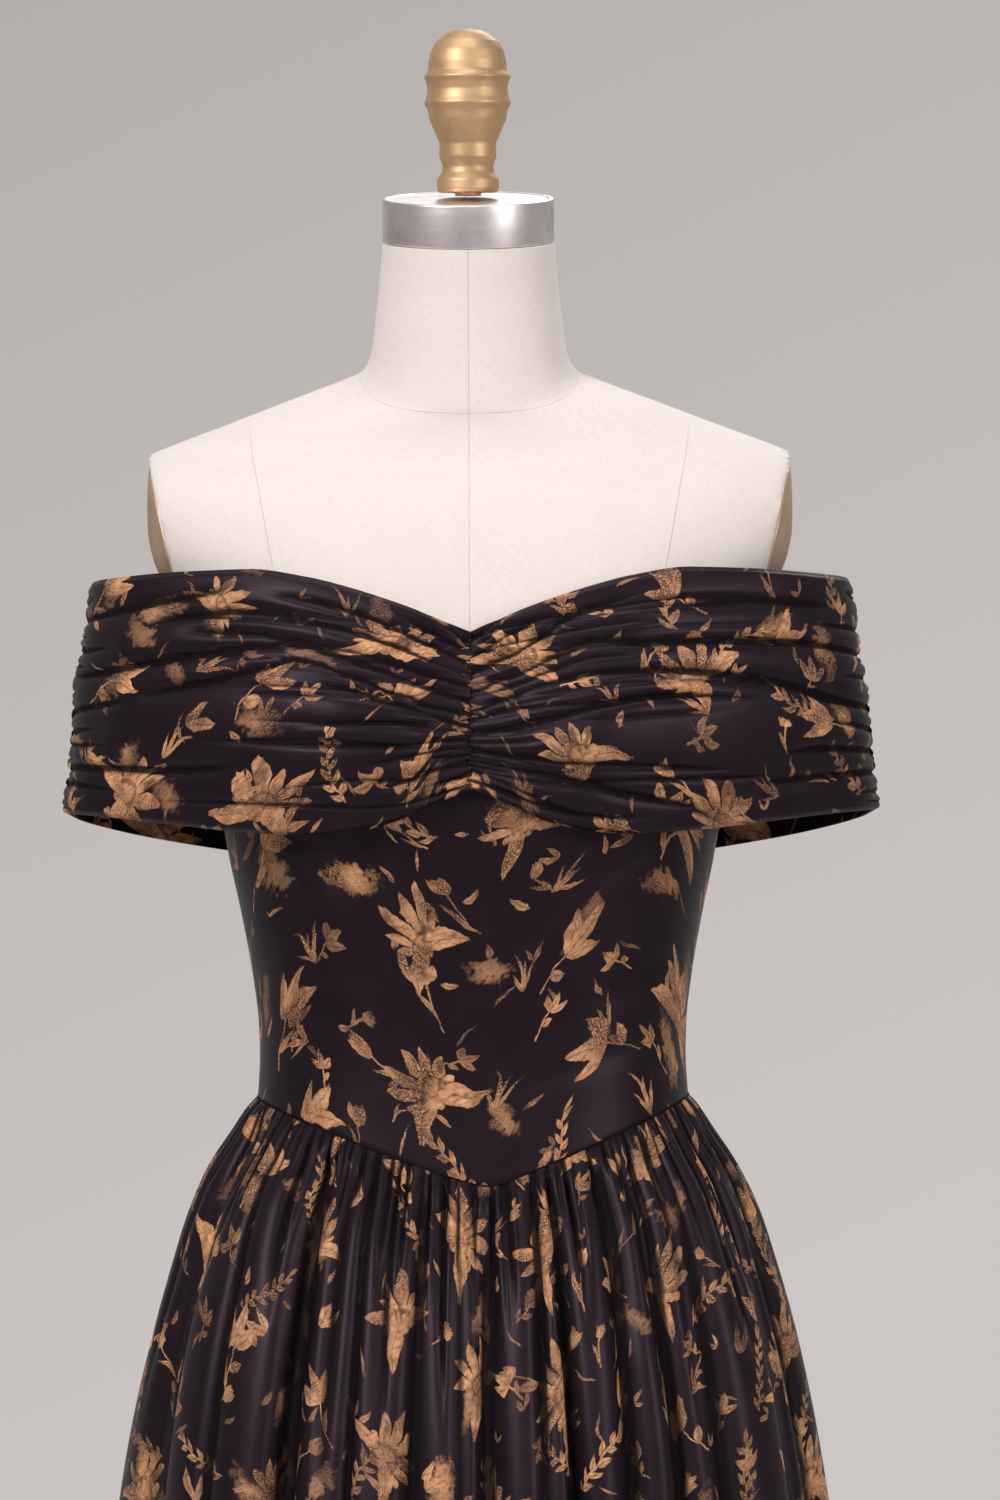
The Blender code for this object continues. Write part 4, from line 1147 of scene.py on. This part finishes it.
def rounded(corners, steps=5):
    """A profile with its inner corners rounded, each corner a (radius, height, rounding) row."""
    points = [corners[0][:2]]
    for before, (x, z, size), after in zip(corners, corners[1:-1], corners[2:]):
        here = np.array([x, z])
        back, on = np.array(before[:2]) - here, np.array(after[:2]) - here
        start = here + back / np.linalg.norm(back) * size
        end = here + on / np.linalg.norm(on) * size
        for t in np.linspace(0, 1, steps):
            points.append(tuple(start * (1 - t) ** 2 + here * 2 * t * (1 - t) + end * t * t))
    points.append(corners[-1][:2])
    return points


def make_neck_cap(steel):
    y, z = neck_top()
    profile = rounded(
        (
            (CAP_RADIUS - 0.004, 0.0, 0),
            (CAP_RADIUS, 0.0, 0.0008),
            (CAP_RADIUS, CAP_HEIGHT, 0.0011),
            (CAP_RADIUS - 0.0030, CAP_HEIGHT, 0.0004),
            (CAP_RADIUS - 0.0034, CAP_HEIGHT - 0.0005, 0.0002),
            (CAP_RADIUS - 0.0060, CAP_HEIGHT - 0.0005, 0),
        )
    )
    place = (0, y, z + SEAM_GAP)
    cap = add_turned("cap", profile, 160, place, NECK_TILT, steel)
    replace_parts(cap, "neck_cap")


def make_finial(gold):
    y, z = neck_top()
    up = CAP_HEIGHT + 2 * SEAM_GAP
    y, z = y - up * math.sin(NECK_TILT), z + up * math.cos(NECK_TILT)
    foot = FINIAL_PROFILE[0][0] * math.tan(NECK_TILT - FINIAL_TILT) + FINIAL_LIFT
    stud_foot = STUD_RADIUS * math.tan(NECK_TILT - FINIAL_TILT) + SEAM_GAP
    heights = np.array(FINIAL_PROFILE)[:, 1]
    fine = np.linspace(0, heights[-1], 200)
    radii = np.interp(fine, heights, np.array(FINIAL_PROFILE)[:, 0])
    smooth = np.convolve(np.pad(radii, 2, mode="edge"), np.array([1, 2, 3, 2, 1]) / 9, "valid")
    smooth[-3:] = radii[-3:]
    profile = [(STUD_RADIUS, stud_foot - foot), (STUD_RADIUS, 0.0), *zip(smooth, fine)]
    place = (0, y - foot * math.sin(FINIAL_TILT), z + foot * math.cos(FINIAL_TILT))
    finial = add_turned("finial_turned", profile, 64, place, FINIAL_TILT, gold, sharp_over=60)
    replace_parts(finial, "finial")


def make_arm_plate(name, node, side, gold):
    """A domed oval plate on the flat armhole."""
    angles = np.arange(PLATE_SIDES) * 2 * math.pi / PLATE_SIDES
    rings = [(1.0, 0.0), (1.0, 0.0008), (0.995, 0.0013)]
    for share in np.linspace(0.985, 0.02, 26):
        rings.append((share, float(read_table(PLATE_PROFILE, ("share", "height"), "height", share))))
    points = []
    for share, height in rings:
        z = PLATE_MIDDLE_Z + share * PLATE_HALF_HEIGHT * np.sin(angles)
        y = share * PLATE_HALF_DEPTH * np.cos(angles)
        points.append(np.stack([side * (armhole_x(z) + SEAM_GAP + height), y, z], axis=-1))
    faces = grid_faces(len(rings), PLATE_SIDES, closed=True)
    faces = [tuple(face) for face in (faces if side < 0 else faces[:, ::-1])]
    last_ring = (len(rings) - 1) * PLATE_SIDES
    ends = [tuple(range(PLATE_SIDES)), tuple(range(last_ring, last_ring + PLATE_SIDES))]
    faces += [ends[0][::-1], ends[1]] if side > 0 else [ends[0], ends[1][::-1]]
    plate = add_mesh(name, points, faces, gold, sharp_over=50)
    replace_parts(plate, node)


def make_stand(steel):
    base = rounded(
        (
            (BASE_RADIUS - 0.006, 0.0, 0),
            (BASE_RADIUS, 0.0, 0.0010),
            (BASE_RADIUS, TOP_OF_BASE * 0.6, 0.0030),
            (BASE_RADIUS - 0.012, TOP_OF_BASE, 0.0040),
            (POLE_RADIUS + 0.010, TOP_OF_BASE, 0),
        )
    )
    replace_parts(add_turned("base_turned", base, 160, (0, 0, 0), 0.0, steel), "stand_base")
    top = FORM_SECTIONS[0][0] - SEAM_GAP
    pole = rounded(
        (
            (POLE_RADIUS - 0.003, TOP_OF_BASE + SEAM_GAP, 0),
            (POLE_RADIUS, TOP_OF_BASE + SEAM_GAP, 0.0006),
            (POLE_RADIUS, top, 0.0006),
            (POLE_RADIUS - 0.003, top, 0),
        )
    )
    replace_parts(add_turned("pole_turned", pole, 64, (0, 0, 0), 0.0, steel), "stand_pole")


# Materials


class Number:
    """A number in a material. Arithmetic on it adds Math nodes."""

    def __init__(self, nodes, socket):
        self.nodes = nodes
        self.socket = socket

    def __add__(self, other):
        return self.nodes.math("ADD", self, other)

    def __sub__(self, other):
        return self.nodes.math("SUBTRACT", self, other)

    def __rsub__(self, other):
        return self.nodes.math("SUBTRACT", other, self)

    def __mul__(self, other):
        return self.nodes.math("MULTIPLY", self, other)

    def __truediv__(self, other):
        return self.nodes.math("DIVIDE", self, other)

    __radd__ = __add__
    __rmul__ = __mul__

    def abs(self):
        return self.nodes.math("ABSOLUTE", self)

    def floor(self):
        return self.nodes.math("FLOOR", self)

    def fract(self):
        return self.nodes.math("FRACT", self)

    def sin(self):
        return self.nodes.math("SINE", self)

    def cos(self):
        return self.nodes.math("COSINE", self)

    def power(self, exponent):
        return self.nodes.math("POWER", self, exponent)

    def at_most(self, other):
        return self.nodes.math("MINIMUM", self, other)

    def at_least(self, other):
        return self.nodes.math("MAXIMUM", self, other)

    def over(self, other):
        return self.nodes.math("GREATER_THAN", self, other)

    def under(self, other):
        return self.nodes.math("LESS_THAN", self, other)

    def smooth(self, low, high):
        """0 up to `low` and 1 from `high` on, or the other way about if high is below low."""
        node = self.nodes.add("ShaderNodeMapRange", interpolation_type="SMOOTHSTEP")
        self.nodes.put(self, node.inputs["Value"])
        start, end = (0.0, 1.0) if low < high else (1.0, 0.0)
        node.inputs["From Min"].default_value = min(low, high)
        node.inputs["From Max"].default_value = max(low, high)
        node.inputs["To Min"].default_value = start
        node.inputs["To Max"].default_value = end
        return Number(self.nodes, node.outputs["Result"])


class Nodes:
    """Adds nodes to one material and links them. The settings are names of the shader's sockets with
    their spaces as underscores."""

    def __init__(self, name, roughness, metallic=0.0, **settings):
        self.material = bpy.data.materials.new(name)
        self.material.use_nodes = True
        self.tree = self.material.node_tree
        self.shader = self.tree.nodes["Principled BSDF"]
        self.shader.inputs["Roughness"].default_value = roughness
        self.shader.inputs["Metallic"].default_value = metallic
        for key, value in settings.items():
            self.shader.inputs[key.replace("_", " ")].default_value = value

    @classmethod
    def of_tree(cls, tree):
        """For a tree that isn't a material's."""
        nodes = cls.__new__(cls)
        nodes.tree = tree
        return nodes

    def add(self, kind, **settings):
        node = self.tree.nodes.new(kind)
        for key, value in settings.items():
            setattr(node, key, value)
        return node

    def put(self, value, socket):
        if isinstance(value, Number):
            self.tree.links.new(value.socket, socket)
        else:
            socket.default_value = value

    def math(self, operation, *values):
        node = self.add("ShaderNodeMath", operation=operation)
        for value, socket in zip(values, node.inputs):
            self.put(value, socket)
        return Number(self, node.outputs[0])

    def vector(self, x, y, z=0.0):
        node = self.add("ShaderNodeCombineXYZ")
        for value, socket in zip((x, y, z), node.inputs):
            self.put(value, socket)
        return node.outputs[0]

    def parts(self, socket):
        node = self.add("ShaderNodeSeparateXYZ")
        self.tree.links.new(socket, node.inputs[0])
        return [Number(self, output) for output in node.outputs]

    def cloth_metres(self):
        node = self.add("ShaderNodeUVMap", uv_map="cloth")
        return self.parts(node.outputs[0])[:2]

    def attribute(self, name):
        return Number(self, self.add("ShaderNodeAttribute", attribute_name=name).outputs["Fac"])

    def place(self):
        node = self.add("ShaderNodeTexCoord")
        return self.parts(node.outputs["Object"])

    def noise(self, vector, scale, detail=2.0, rough=0.5, coloured=False):
        node = self.add("ShaderNodeTexNoise")
        self.tree.links.new(vector, node.inputs["Vector"])
        node.inputs["Scale"].default_value = scale
        node.inputs["Detail"].default_value = detail
        node.inputs["Roughness"].default_value = rough
        return self.parts(node.outputs["Color"]) if coloured else Number(self, node.outputs[0])

    def chances(self, x, y, seed):
        node = self.add("ShaderNodeTexWhiteNoise", noise_dimensions="3D")
        self.tree.links.new(self.vector(x, y, seed), node.inputs["Vector"])
        return self.parts(node.outputs["Color"])

    def mix(self, factor, first, second):
        node = self.add("ShaderNodeMix", data_type="RGBA")
        self.put(factor, node.inputs[0])
        for value, socket in ((first, node.inputs[6]), (second, node.inputs[7])):
            if isinstance(value, tuple):
                socket.default_value = (*value, 1.0)
            else:
                self.tree.links.new(value, socket)
        return node.outputs[2]

    def colour(self, socket):
        self.tree.links.new(socket, self.shader.inputs["Base Color"])

    def roughness(self, value):
        self.put(value, self.shader.inputs["Roughness"])

    def bump(self, height, distance, strength=1.0):
        node = self.add("ShaderNodeBump")
        node.inputs["Strength"].default_value = strength
        node.inputs["Distance"].default_value = distance
        self.put(height, node.inputs["Height"])
        self.tree.links.new(node.outputs[0], self.shader.inputs["Normal"])


def turn(x, y, angle):
    """Coordinates turned by a fixed angle in degrees."""
    c, s = math.cos(math.radians(angle)), math.sin(math.radians(angle))
    return x * c + y * s, y * c - x * s


def scatter(nodes, u, v, cell, angle, seed, jitter):
    """One place for a motif in each cell of a turned brick grid, in millimetres: its own
    coordinates with x the way it grows, upward give or take, and three more chances."""
    x, y = turn(u, v, angle)
    x, y = x / cell + seed * 0.37, y / cell + seed * 0.71
    column = x.floor()
    y = y + (column * 0.5).fract()
    row = y.floor()
    first = nodes.chances(column, row, seed)
    second = nodes.chances(column, row, seed + 0.5)
    x = (x - column - 0.5 - (first[0] - 0.5) * jitter) * cell
    y = (y - row - 0.5 - (first[1] - 0.5) * jitter) * cell
    way = (first[2] - 0.5) * 2.5 + math.radians(90 - angle)
    c, s = way.cos(), way.sin()
    return x * c + y * s, y * c - x * s, second


def leaf(x, y, length, width, bend=0.0):
    """A pointed leaf from the origin along x, with a darker rib down its middle."""
    t = x / length
    y = y + t * (1 - t) * bend if bend else y
    edge = t * (1 - t) * (1.5 - t * 0.8).at_least(0.3) * (width * 2.6)
    body = (edge - y.abs()).smooth(-0.2, 0.5)
    rib = y.abs().smooth(0.15, 0.55)
    return body * (rib * 0.5 + 0.5)


def leaf_pair(x, y, length, width, spread, bend=-3.0):
    """Two leaves that part from one foot."""
    return leaf(*turn(x, y.abs(), spread), length, width, bend=bend)


def stalk(x, y, start, end, width=0.55):
    """A thin stem along x, between two distances from the origin."""
    return y.abs().smooth(width + 0.25, width - 0.2) * x.smooth(start, start + 0.8) * x.smooth(end + 0.8, end)


def spray(x, y, length, width, spread):
    """Three leaves on a stem, with a smaller one lower down."""
    found = leaf(x, y, length, width).at_least(leaf_pair(x, y, length * 0.85, width, spread))
    bent = y + x * x * (0.16 / length)
    found = found.at_least(stalk(x, bent, -length * 0.9, 1.0))
    return found.at_least(leaf(*turn(x + length * 0.5, bent, -48), length * 0.5, width * 0.7))


def blossom(nodes, x, y, size, chance):
    """A full flower from the side: pointed petals that fan up from a small foot, streaked by the
    brush, over two drooping leaves."""
    angle = nodes.math("ARCTAN2", y, x)
    radius = (x * x + y * y).power(0.5)
    up = angle.abs().smooth(2.3, 0.8)
    spoke = angle * 1.91 + chance * 3.0
    petal = 1 - ((spoke.fract() - 0.5).abs() * 2)
    reach = nodes.chances(spoke.floor(), chance, 4.0)[0] * 0.30 + 0.42
    edge = (up * petal.power(0.50) * reach + up * 0.16 + 0.22) * size
    body = (edge - radius).smooth(-0.3, 0.7)
    slit = petal.smooth(0.05, 0.20).at_least((radius / size).smooth(0.44, 0.34))
    streak = nodes.noise(nodes.vector(angle * 3.2, radius * 0.07, chance * 9.0), 1.0, detail=1.0)
    heart = (radius / size - 0.30).abs().smooth(0.02, 0.06) * 0.5 + 0.5
    body = body * slit * heart * (streak.smooth(0.30, 0.52) * 0.6 + 0.4)
    return body.at_least(leaf_pair(x, y, size * 1.05, size * 0.24, 122, bend=6.0))


def sprig(x, y, step, leaflet):
    """A curved stem with leaves on alternate sides and one at its tip."""
    y = y + x * x * (0.045 / step)
    place = x / step + y.over(0.0) * 0.5
    local = (place.fract() - 0.5) * step + leaflet * 0.36
    along, across = turn(local, y.abs(), 36)
    sides = leaf(along, across, leaflet, leaflet * 0.28) * (place.floor() + 0.5).abs().under(2.6)
    tip = leaf(x - step * 2.6, y, leaflet * 1.1, leaflet * 0.28)
    return sides.at_least(tip).at_least(stalk(x, y, -step * 3.6, step * 2.7))


def tulip(x, y, size):
    """A closed flower of three pointed petals, on a bent stem with one long leaf."""
    flower = leaf(x, y, size, size * 0.44).at_least(leaf_pair(x, y, size * 1.05, size * 0.34, 17, bend=-2.0))
    bent = y + x * x * (0.10 / size)
    long_leaf = leaf(*turn(x + size * 1.7, bent, 24), size * 1.6, size * 0.24, bend=4.0)
    return flower.at_least(stalk(x, bent, -size * 2.0, 1.0)).at_least(long_leaf)


def blades(x, y, length):
    """Thin curved strokes that fan from one foot."""
    found = leaf(x, y, length * 0.8, 2.2, bend=-5.0)
    for angle, share, bend in ((19, 1.0, 7.0), (-22, 0.95, -6.0), (41, 0.6, 4.0)):
        found = found.at_least(leaf(*turn(x, y, angle), length * share, 1.9, bend=bend))
    return found


def smudge(x, y, size, ragged):
    """A soft patch that the brush left, longer than it is wide."""
    reach = ((x / size) * (x / size) + (y / size * 2.2) * (y / size * 2.2)).power(0.5)
    return (reach + (ragged - 0.5) * 1.6).smooth(0.85, 0.35) * reach.smooth(1.0, 0.8)


def choose(chance, low, high):
    """1 where a chance lies between two values."""
    return (chance - (low + high) / 2).abs().under((high - low) / 2)


def large_motifs(nodes, u, v):
    """Flowers and, less often, leafy sprays, spread wide. Gives the ink's strength."""
    x, y, more = scatter(nodes, u, v, 88.0, 12, 3.0, 0.28)
    flower = blossom(nodes, x + 6.0, y, more[1] * 12.0 + 28.0, more[2]) * more[0].under(0.64)
    leaves = spray(x + 5.0, y, 29.0, 6.6, 38) * more[0].over(0.64)
    return flower.at_least(leaves) * (more[1] * 0.25 + 0.78)


def middle_motifs(nodes, u, v, ragged):
    """Sprigs, tulips, blades of grass and smudges."""
    x, y, more = scatter(nodes, u, v, 60.0, -23, 5.0, 0.26)
    part = sprig(x, y, 8.6, 9.8) * more[0].under(0.26)
    part = part.at_least(tulip(x - 6.0, y, 13.0) * choose(more[0], 0.26, 0.50))
    part = part.at_least(blades(x + 11.0, y, 28.0) * choose(more[0], 0.50, 0.80))
    part = part.at_least(smudge(x, y, 26.0, ragged) * choose(more[0], 0.80, 0.93) * 0.8)
    return part * (more[1] * 0.55 + 0.50)


def small_motifs(nodes, u, v, ragged):
    """Little sprays, pairs of leaves, buds and smudges."""
    x, y, more = scatter(nodes, u, v, 50.0, 34, 9.0, 0.22)
    part = spray(x - 2.0, y, 15.0, 3.8, 42) * more[0].under(0.30)
    part = part.at_least(leaf_pair(x + 8.0, y, 18.0, 4.2, 24) * choose(more[0], 0.30, 0.48))
    part = part.at_least(tulip(x - 4.0, y, 8.5) * choose(more[0], 0.48, 0.64))
    part = part.at_least(smudge(x, y, 20.0, ragged) * more[0].over(0.80) * 0.7)
    return part * (more[1] * 0.60 + 0.40)


def stray_leaves(nodes, u, v):
    """Single leaves and thin strokes between the other motifs."""
    x, y, more = scatter(nodes, u, v, 31.0, -47, 8.0, 0.24)
    part = leaf(x + 6.0, y, 13.0, 2.8, bend=2.0) * more[0].under(0.28)
    part = part.at_least(leaf_pair(x + 4.0, y, 9.5, 2.3, 27) * choose(more[0], 0.28, 0.42))
    part = part.at_least(leaf(x + 9.0, y, 19.0, 1.4, bend=-5.0) * choose(more[0], 0.42, 0.66))
    return part * (more[1] * 0.65 + 0.35)


def cloth_material():
    """Dark satin with a scattered hand-painted flower print, and painted shade deep in its folds and creases.
    """
    tint = (1.0, 0.74, 0.86, 1.0)
    nodes = Nodes("dress_satin", 0.40, Specular_IOR_Level=0.18, Specular_Tint=tint)
    valley = nodes.attribute("valley")
    u, v = nodes.cloth_metres()
    u, v = u * 1000, v * 1000
    plain = nodes.vector(u, v)
    warp = nodes.noise(plain, 0.20, detail=2.0, rough=0.6, coloured=True)
    sway = nodes.noise(plain, 0.035, detail=1.0, coloured=True)
    grain = nodes.noise(plain, 0.9, detail=2.0, rough=0.7)
    broad = nodes.noise(plain, 0.040, detail=1.0)
    a = u + (warp[0] - 0.5) * 2.8 + (sway[0] - 0.5) * 16
    b = v + (warp[1] - 0.5) * 2.8 + (sway[1] - 0.5) * 16
    ink = large_motifs(nodes, a, b).at_least(middle_motifs(nodes, a, b, warp[2]))
    ink = ink.at_least(small_motifs(nodes, a, b, warp[2])).at_least(stray_leaves(nodes, a, b))

    along, across = turn(u, v, 32)
    brush = nodes.noise(nodes.vector(along * 0.09, across * 0.5), 1.0, detail=2.0, rough=0.6)
    dry = (broad + (brush - 0.5) * 0.55).smooth(0.40, 0.62)
    ink = (ink * (1 - dry * grain.smooth(0.42, 0.54) * 0.90)).at_most(1.0)
    tone = (warp[2] * 1.1 + brush * 1.5 - 0.78 + (grain - 0.5) * 0.6).at_most(1.0).at_least(0.0)
    gold = nodes.mix(tone, PRINT_DARK, PRINT_LIGHT)
    paler = tuple(value * 1.3 for value in SATIN_GROUND)
    painted = nodes.mix(ink, nodes.mix(broad.smooth(0.35, 0.65), SATIN_GROUND, paler), gold)
    # Painted shade: deep in the folds and creases the colour is darkened towards the fold shade colour.
    nodes.colour(nodes.mix(valley * 0.93, painted, FOLD_PAINTED_SHADE))
    nodes.roughness(0.36 + ink * 0.18 + grain * 0.07 + valley * 0.40)
    threads = (u * 9.0).sin() * (v * 9.0).sin()
    slub = nodes.noise(nodes.vector(u * 0.25, v * 3.0), 1.0, detail=2.0)
    nodes.bump(threads * 0.3 + slub, 0.00006, strength=0.6)
    return nodes.material


def dark_thread_material():
    nodes = Nodes("seam_dark", 0.70, Specular_IOR_Level=0.10)
    x, y, z = nodes.place()
    fine = nodes.noise(nodes.vector(x, y, z), 900.0, detail=1.0)
    nodes.colour(nodes.mix(fine, THREAD_DARK, tuple(value * 2.0 for value in THREAD_DARK)))
    nodes.bump(fine, 0.0001)
    return nodes.material


def linen_material():
    """Pale woven cover with fine uneven threads."""
    nodes = Nodes("cream_linen", 0.86, Sheen_Weight=0.25, Sheen_Roughness=0.5)
    u, v = nodes.cloth_metres()
    u, v = u * 1000, v * 1000
    warp = nodes.noise(nodes.vector(u * 3.0, v * 0.22), 1.0, detail=2.0)
    weft = nodes.noise(nodes.vector(u * 0.22, v * 3.0), 1.0, detail=2.0)
    broad = nodes.noise(nodes.vector(u, v), 0.02, detail=3.0)
    weave = (warp + weft) * 0.5
    pale = nodes.mix(weave.smooth(0.35, 0.65), (0.640, 0.555, 0.516), (0.735, 0.650, 0.614))
    nodes.colour(nodes.mix(broad.smooth(0.3, 0.8) * 0.35, pale, (0.650, 0.553, 0.508)))
    threads = (u * 8.0).sin().abs() + (v * 8.0).sin().abs()
    nodes.bump(weave * 1.2 + threads * 0.25, 0.00010, strength=0.5)
    return nodes.material


def seam_material():
    nodes = Nodes("form_thread", 0.80)
    x, y, z = nodes.place()
    along = nodes.noise(nodes.vector(x, y, z), 600.0, detail=1.0)
    nodes.colour(nodes.mix(along, (0.54, 0.45, 0.39), (0.64, 0.55, 0.48)))
    return nodes.material


def brushed_metal(name, colour, roughness, upright, metallic=1.0):
    """Metal with fine lines that run round it, or in rings on its upper face."""
    nodes = Nodes(name, roughness, metallic)
    x, y, z = nodes.place()
    radius = (x * x + (y - upright) * (y - upright)).power(0.5)
    angle = nodes.math("ARCTAN2", x, y - upright)
    lines = nodes.noise(nodes.vector(angle * 0.8, radius * 900.0, z * 900.0), 1.0, detail=3.0)
    cloudy = nodes.noise(nodes.vector(x, y, z), 34.0, detail=4.0, rough=0.6)
    bright = tuple(min(1.0, value * 1.12) for value in colour)
    worn = tuple(value * 0.78 for value in colour)
    nodes.colour(nodes.mix(cloudy.smooth(0.38, 0.72), bright, worn))
    nodes.roughness(roughness - 0.05 + lines * 0.12 + cloudy * 0.12)
    nodes.bump(lines, 0.00003, strength=0.5)
    return nodes.material


def floor_material():
    """Pale matt paper, barely mottled, that fades into the backdrop towards its rim."""
    nodes = Nodes("studio_paper", 0.95, Specular_IOR_Level=0.1)
    x, y, z = nodes.place()
    cloudy = nodes.noise(nodes.vector(x, y, z), 0.5, detail=2.0)
    nodes.colour(nodes.mix(cloudy, (0.560, 0.530, 0.512), (0.600, 0.568, 0.550)))
    radius = (x * x + y * y).power(0.5)
    nodes.put(radius.smooth(FLOOR_RADIUS * 0.97, FLOOR_RADIUS * 0.36), nodes.shader.inputs["Alpha"])
    return nodes.material


# Stage


def make_floor():
    """A round plain floor, small enough to lie below the camera's view."""
    around = np.arange(FLOOR_SIDES) * 2 * math.pi / FLOOR_SIDES
    points = np.column_stack([np.cos(around), np.sin(around), 0 * around]) * FLOOR_RADIUS
    mesh = bpy.data.meshes.new("floor")
    mesh.from_pydata(points.tolist(), [], [tuple(range(FLOOR_SIDES))])
    mesh.materials.append(floor_material())
    floor = bpy.data.objects.new("floor", mesh)
    bpy.context.scene.collection.objects.link(floor)


def make_world():
    """A pale backdrop, darkened a little with height and towards -X as painted shade, and soft light,
    stronger from behind the form than from the front."""
    world = bpy.data.worlds.new("studio")
    bpy.context.scene.world = world
    world.use_nodes = True
    nodes = Nodes.of_tree(world.node_tree)
    way = nodes.add("ShaderNodeTexCoord")
    x, y, z = nodes.parts(way.outputs["Generated"])
    # Painted shade on the backdrop: darker with height and towards -X.
    share = z * 3.6 + 0.40 - x.at_most(0.1).at_least(-0.1) * 1.6
    backdrop = nodes.mix(share.at_most(1.0).at_least(0.0), BACKDROP_LOW, BACKDROP_HIGH)
    light = nodes.mix(y.smooth(-0.1, 0.6), WORLD_LIGHT_FRONT, WORLD_LIGHT_BEHIND)
    seen = nodes.add("ShaderNodeLightPath").outputs["Is Camera Ray"]
    backing = world.node_tree.nodes["Background"]
    nodes.tree.links.new(nodes.mix(Number(nodes, seen), light, backdrop), backing.inputs["Color"])


def aim(thing, place, target):
    """Points a light or camera along its own -Z from its place to a target."""
    way = np.array(target, float) - np.array(place, float)
    way /= np.linalg.norm(way)
    thing.location = place
    thing.rotation_euler = (math.acos(-way[2]), 0.0, math.atan2(-way[0], way[1]))


def make_lights():
    for name, place, target, size, watts in LIGHTS:
        light = bpy.data.lights.new(name, "AREA")
        light.shape = "RECTANGLE"
        light.size, light.size_y = size
        light.energy = watts
        lamp = bpy.data.objects.new(name, light)
        bpy.context.scene.collection.objects.link(lamp)
        aim(lamp, place, target)


def make_camera():
    camera = bpy.data.cameras.new("camera")
    camera.sensor_width = 36
    camera.lens = 18 / (VIEW_HALF_HEIGHT / abs(CAMERA_PLACE[1]))
    camera.clip_end = 50
    place = bpy.data.objects.new("camera", camera)
    place.location = CAMERA_PLACE
    place.rotation_euler = (math.pi / 2, CAMERA_ROLL, 0)
    bpy.context.scene.collection.objects.link(place)
    bpy.context.scene.camera = place
    bpy.context.scene.view_settings.view_transform = "Standard"


def make_form():
    linen, thread = linen_material(), seam_material()
    make_torso(linen, thread)
    neck_y = neck_top()[0]
    make_neck_cap(brushed_metal("brushed_steel", (0.76, 0.690, 0.685), 0.30, neck_y - 0.002))
    gold = brushed_metal("satin_gold", (0.55, 0.35, 0.19), 0.44, neck_y - 0.005, metallic=0.75)
    make_finial(gold)
    plate = brushed_metal("plate_gold", (0.52, 0.36, 0.25), 0.46, 0.0, metallic=0.7)
    make_arm_plate("plate_left", "arm_plate_left", 1, plate)
    make_arm_plate("plate_right", "arm_plate_right", -1, plate)
    make_stand(brushed_metal("stand_metal", (0.50, 0.50, 0.50), 0.32, 0.0))


def make_dress():
    quarter = math.pi / 2
    satin, dark = cloth_material(), dark_thread_material()
    metal = brushed_metal("slider_metal", (0.10, 0.09, 0.09), 0.35, 0.1)
    waist, folds = skirt_waist(), make_skirt_folds()
    make_bodice_panel("bodice_front", -quarter, quarter, 180, 96, satin)
    make_bodice_panel("bodice_back_left", quarter, math.pi, 90, 80, satin, at_zip=True)
    make_bodice_panel("bodice_back_right", math.pi, 3 * quarter, 90, 80, satin, at_zip=True)
    make_skirt_panel("skirt_front", 0.25, 0.75, SKIRT_COLUMNS_FRONT, satin, waist, folds)
    for node, start, stop in (("skirt_back_right", 0.00, 0.25), ("skirt_back_left", 0.75, 1.00)):
        make_skirt_panel(node, start, stop, SKIRT_COLUMNS_BACK, satin, waist, folds, at_zip=True)
    # The left back's creases are the right's, a little moved.
    back_left = tuple(
        (tuple((a, d + 0.02 * math.sin(9 * d + 2 * a)) for a, d in points), half_width * 1.1, depth * 0.9)
        for points, half_width, depth in CREASES_BACK
    )
    for node, side, front, creases, seed in (
        ("band_front_left", 1, True, CREASES_FRONT_LEFT, BAND_SEED),
        ("band_front_right", -1, True, CREASES_FRONT_RIGHT, BAND_SEED + 10),
        ("band_back_left", 1, False, back_left, BAND_SEED),
        ("band_back_right", -1, False, CREASES_BACK, BAND_SEED + 10),
    ):
        make_band(node, side, front, creases, satin, seed)
    make_waist_seam(dark)
    make_zip(dark, metal, waist)


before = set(bpy.data.objects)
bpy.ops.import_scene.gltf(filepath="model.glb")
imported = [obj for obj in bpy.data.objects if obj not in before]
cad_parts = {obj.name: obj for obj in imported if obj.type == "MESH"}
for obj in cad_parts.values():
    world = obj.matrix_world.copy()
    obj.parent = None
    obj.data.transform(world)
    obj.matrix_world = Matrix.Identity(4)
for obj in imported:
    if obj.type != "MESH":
        bpy.data.objects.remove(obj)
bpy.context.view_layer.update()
make_camera()
make_lights()
make_floor()
make_world()
make_form()
make_dress()
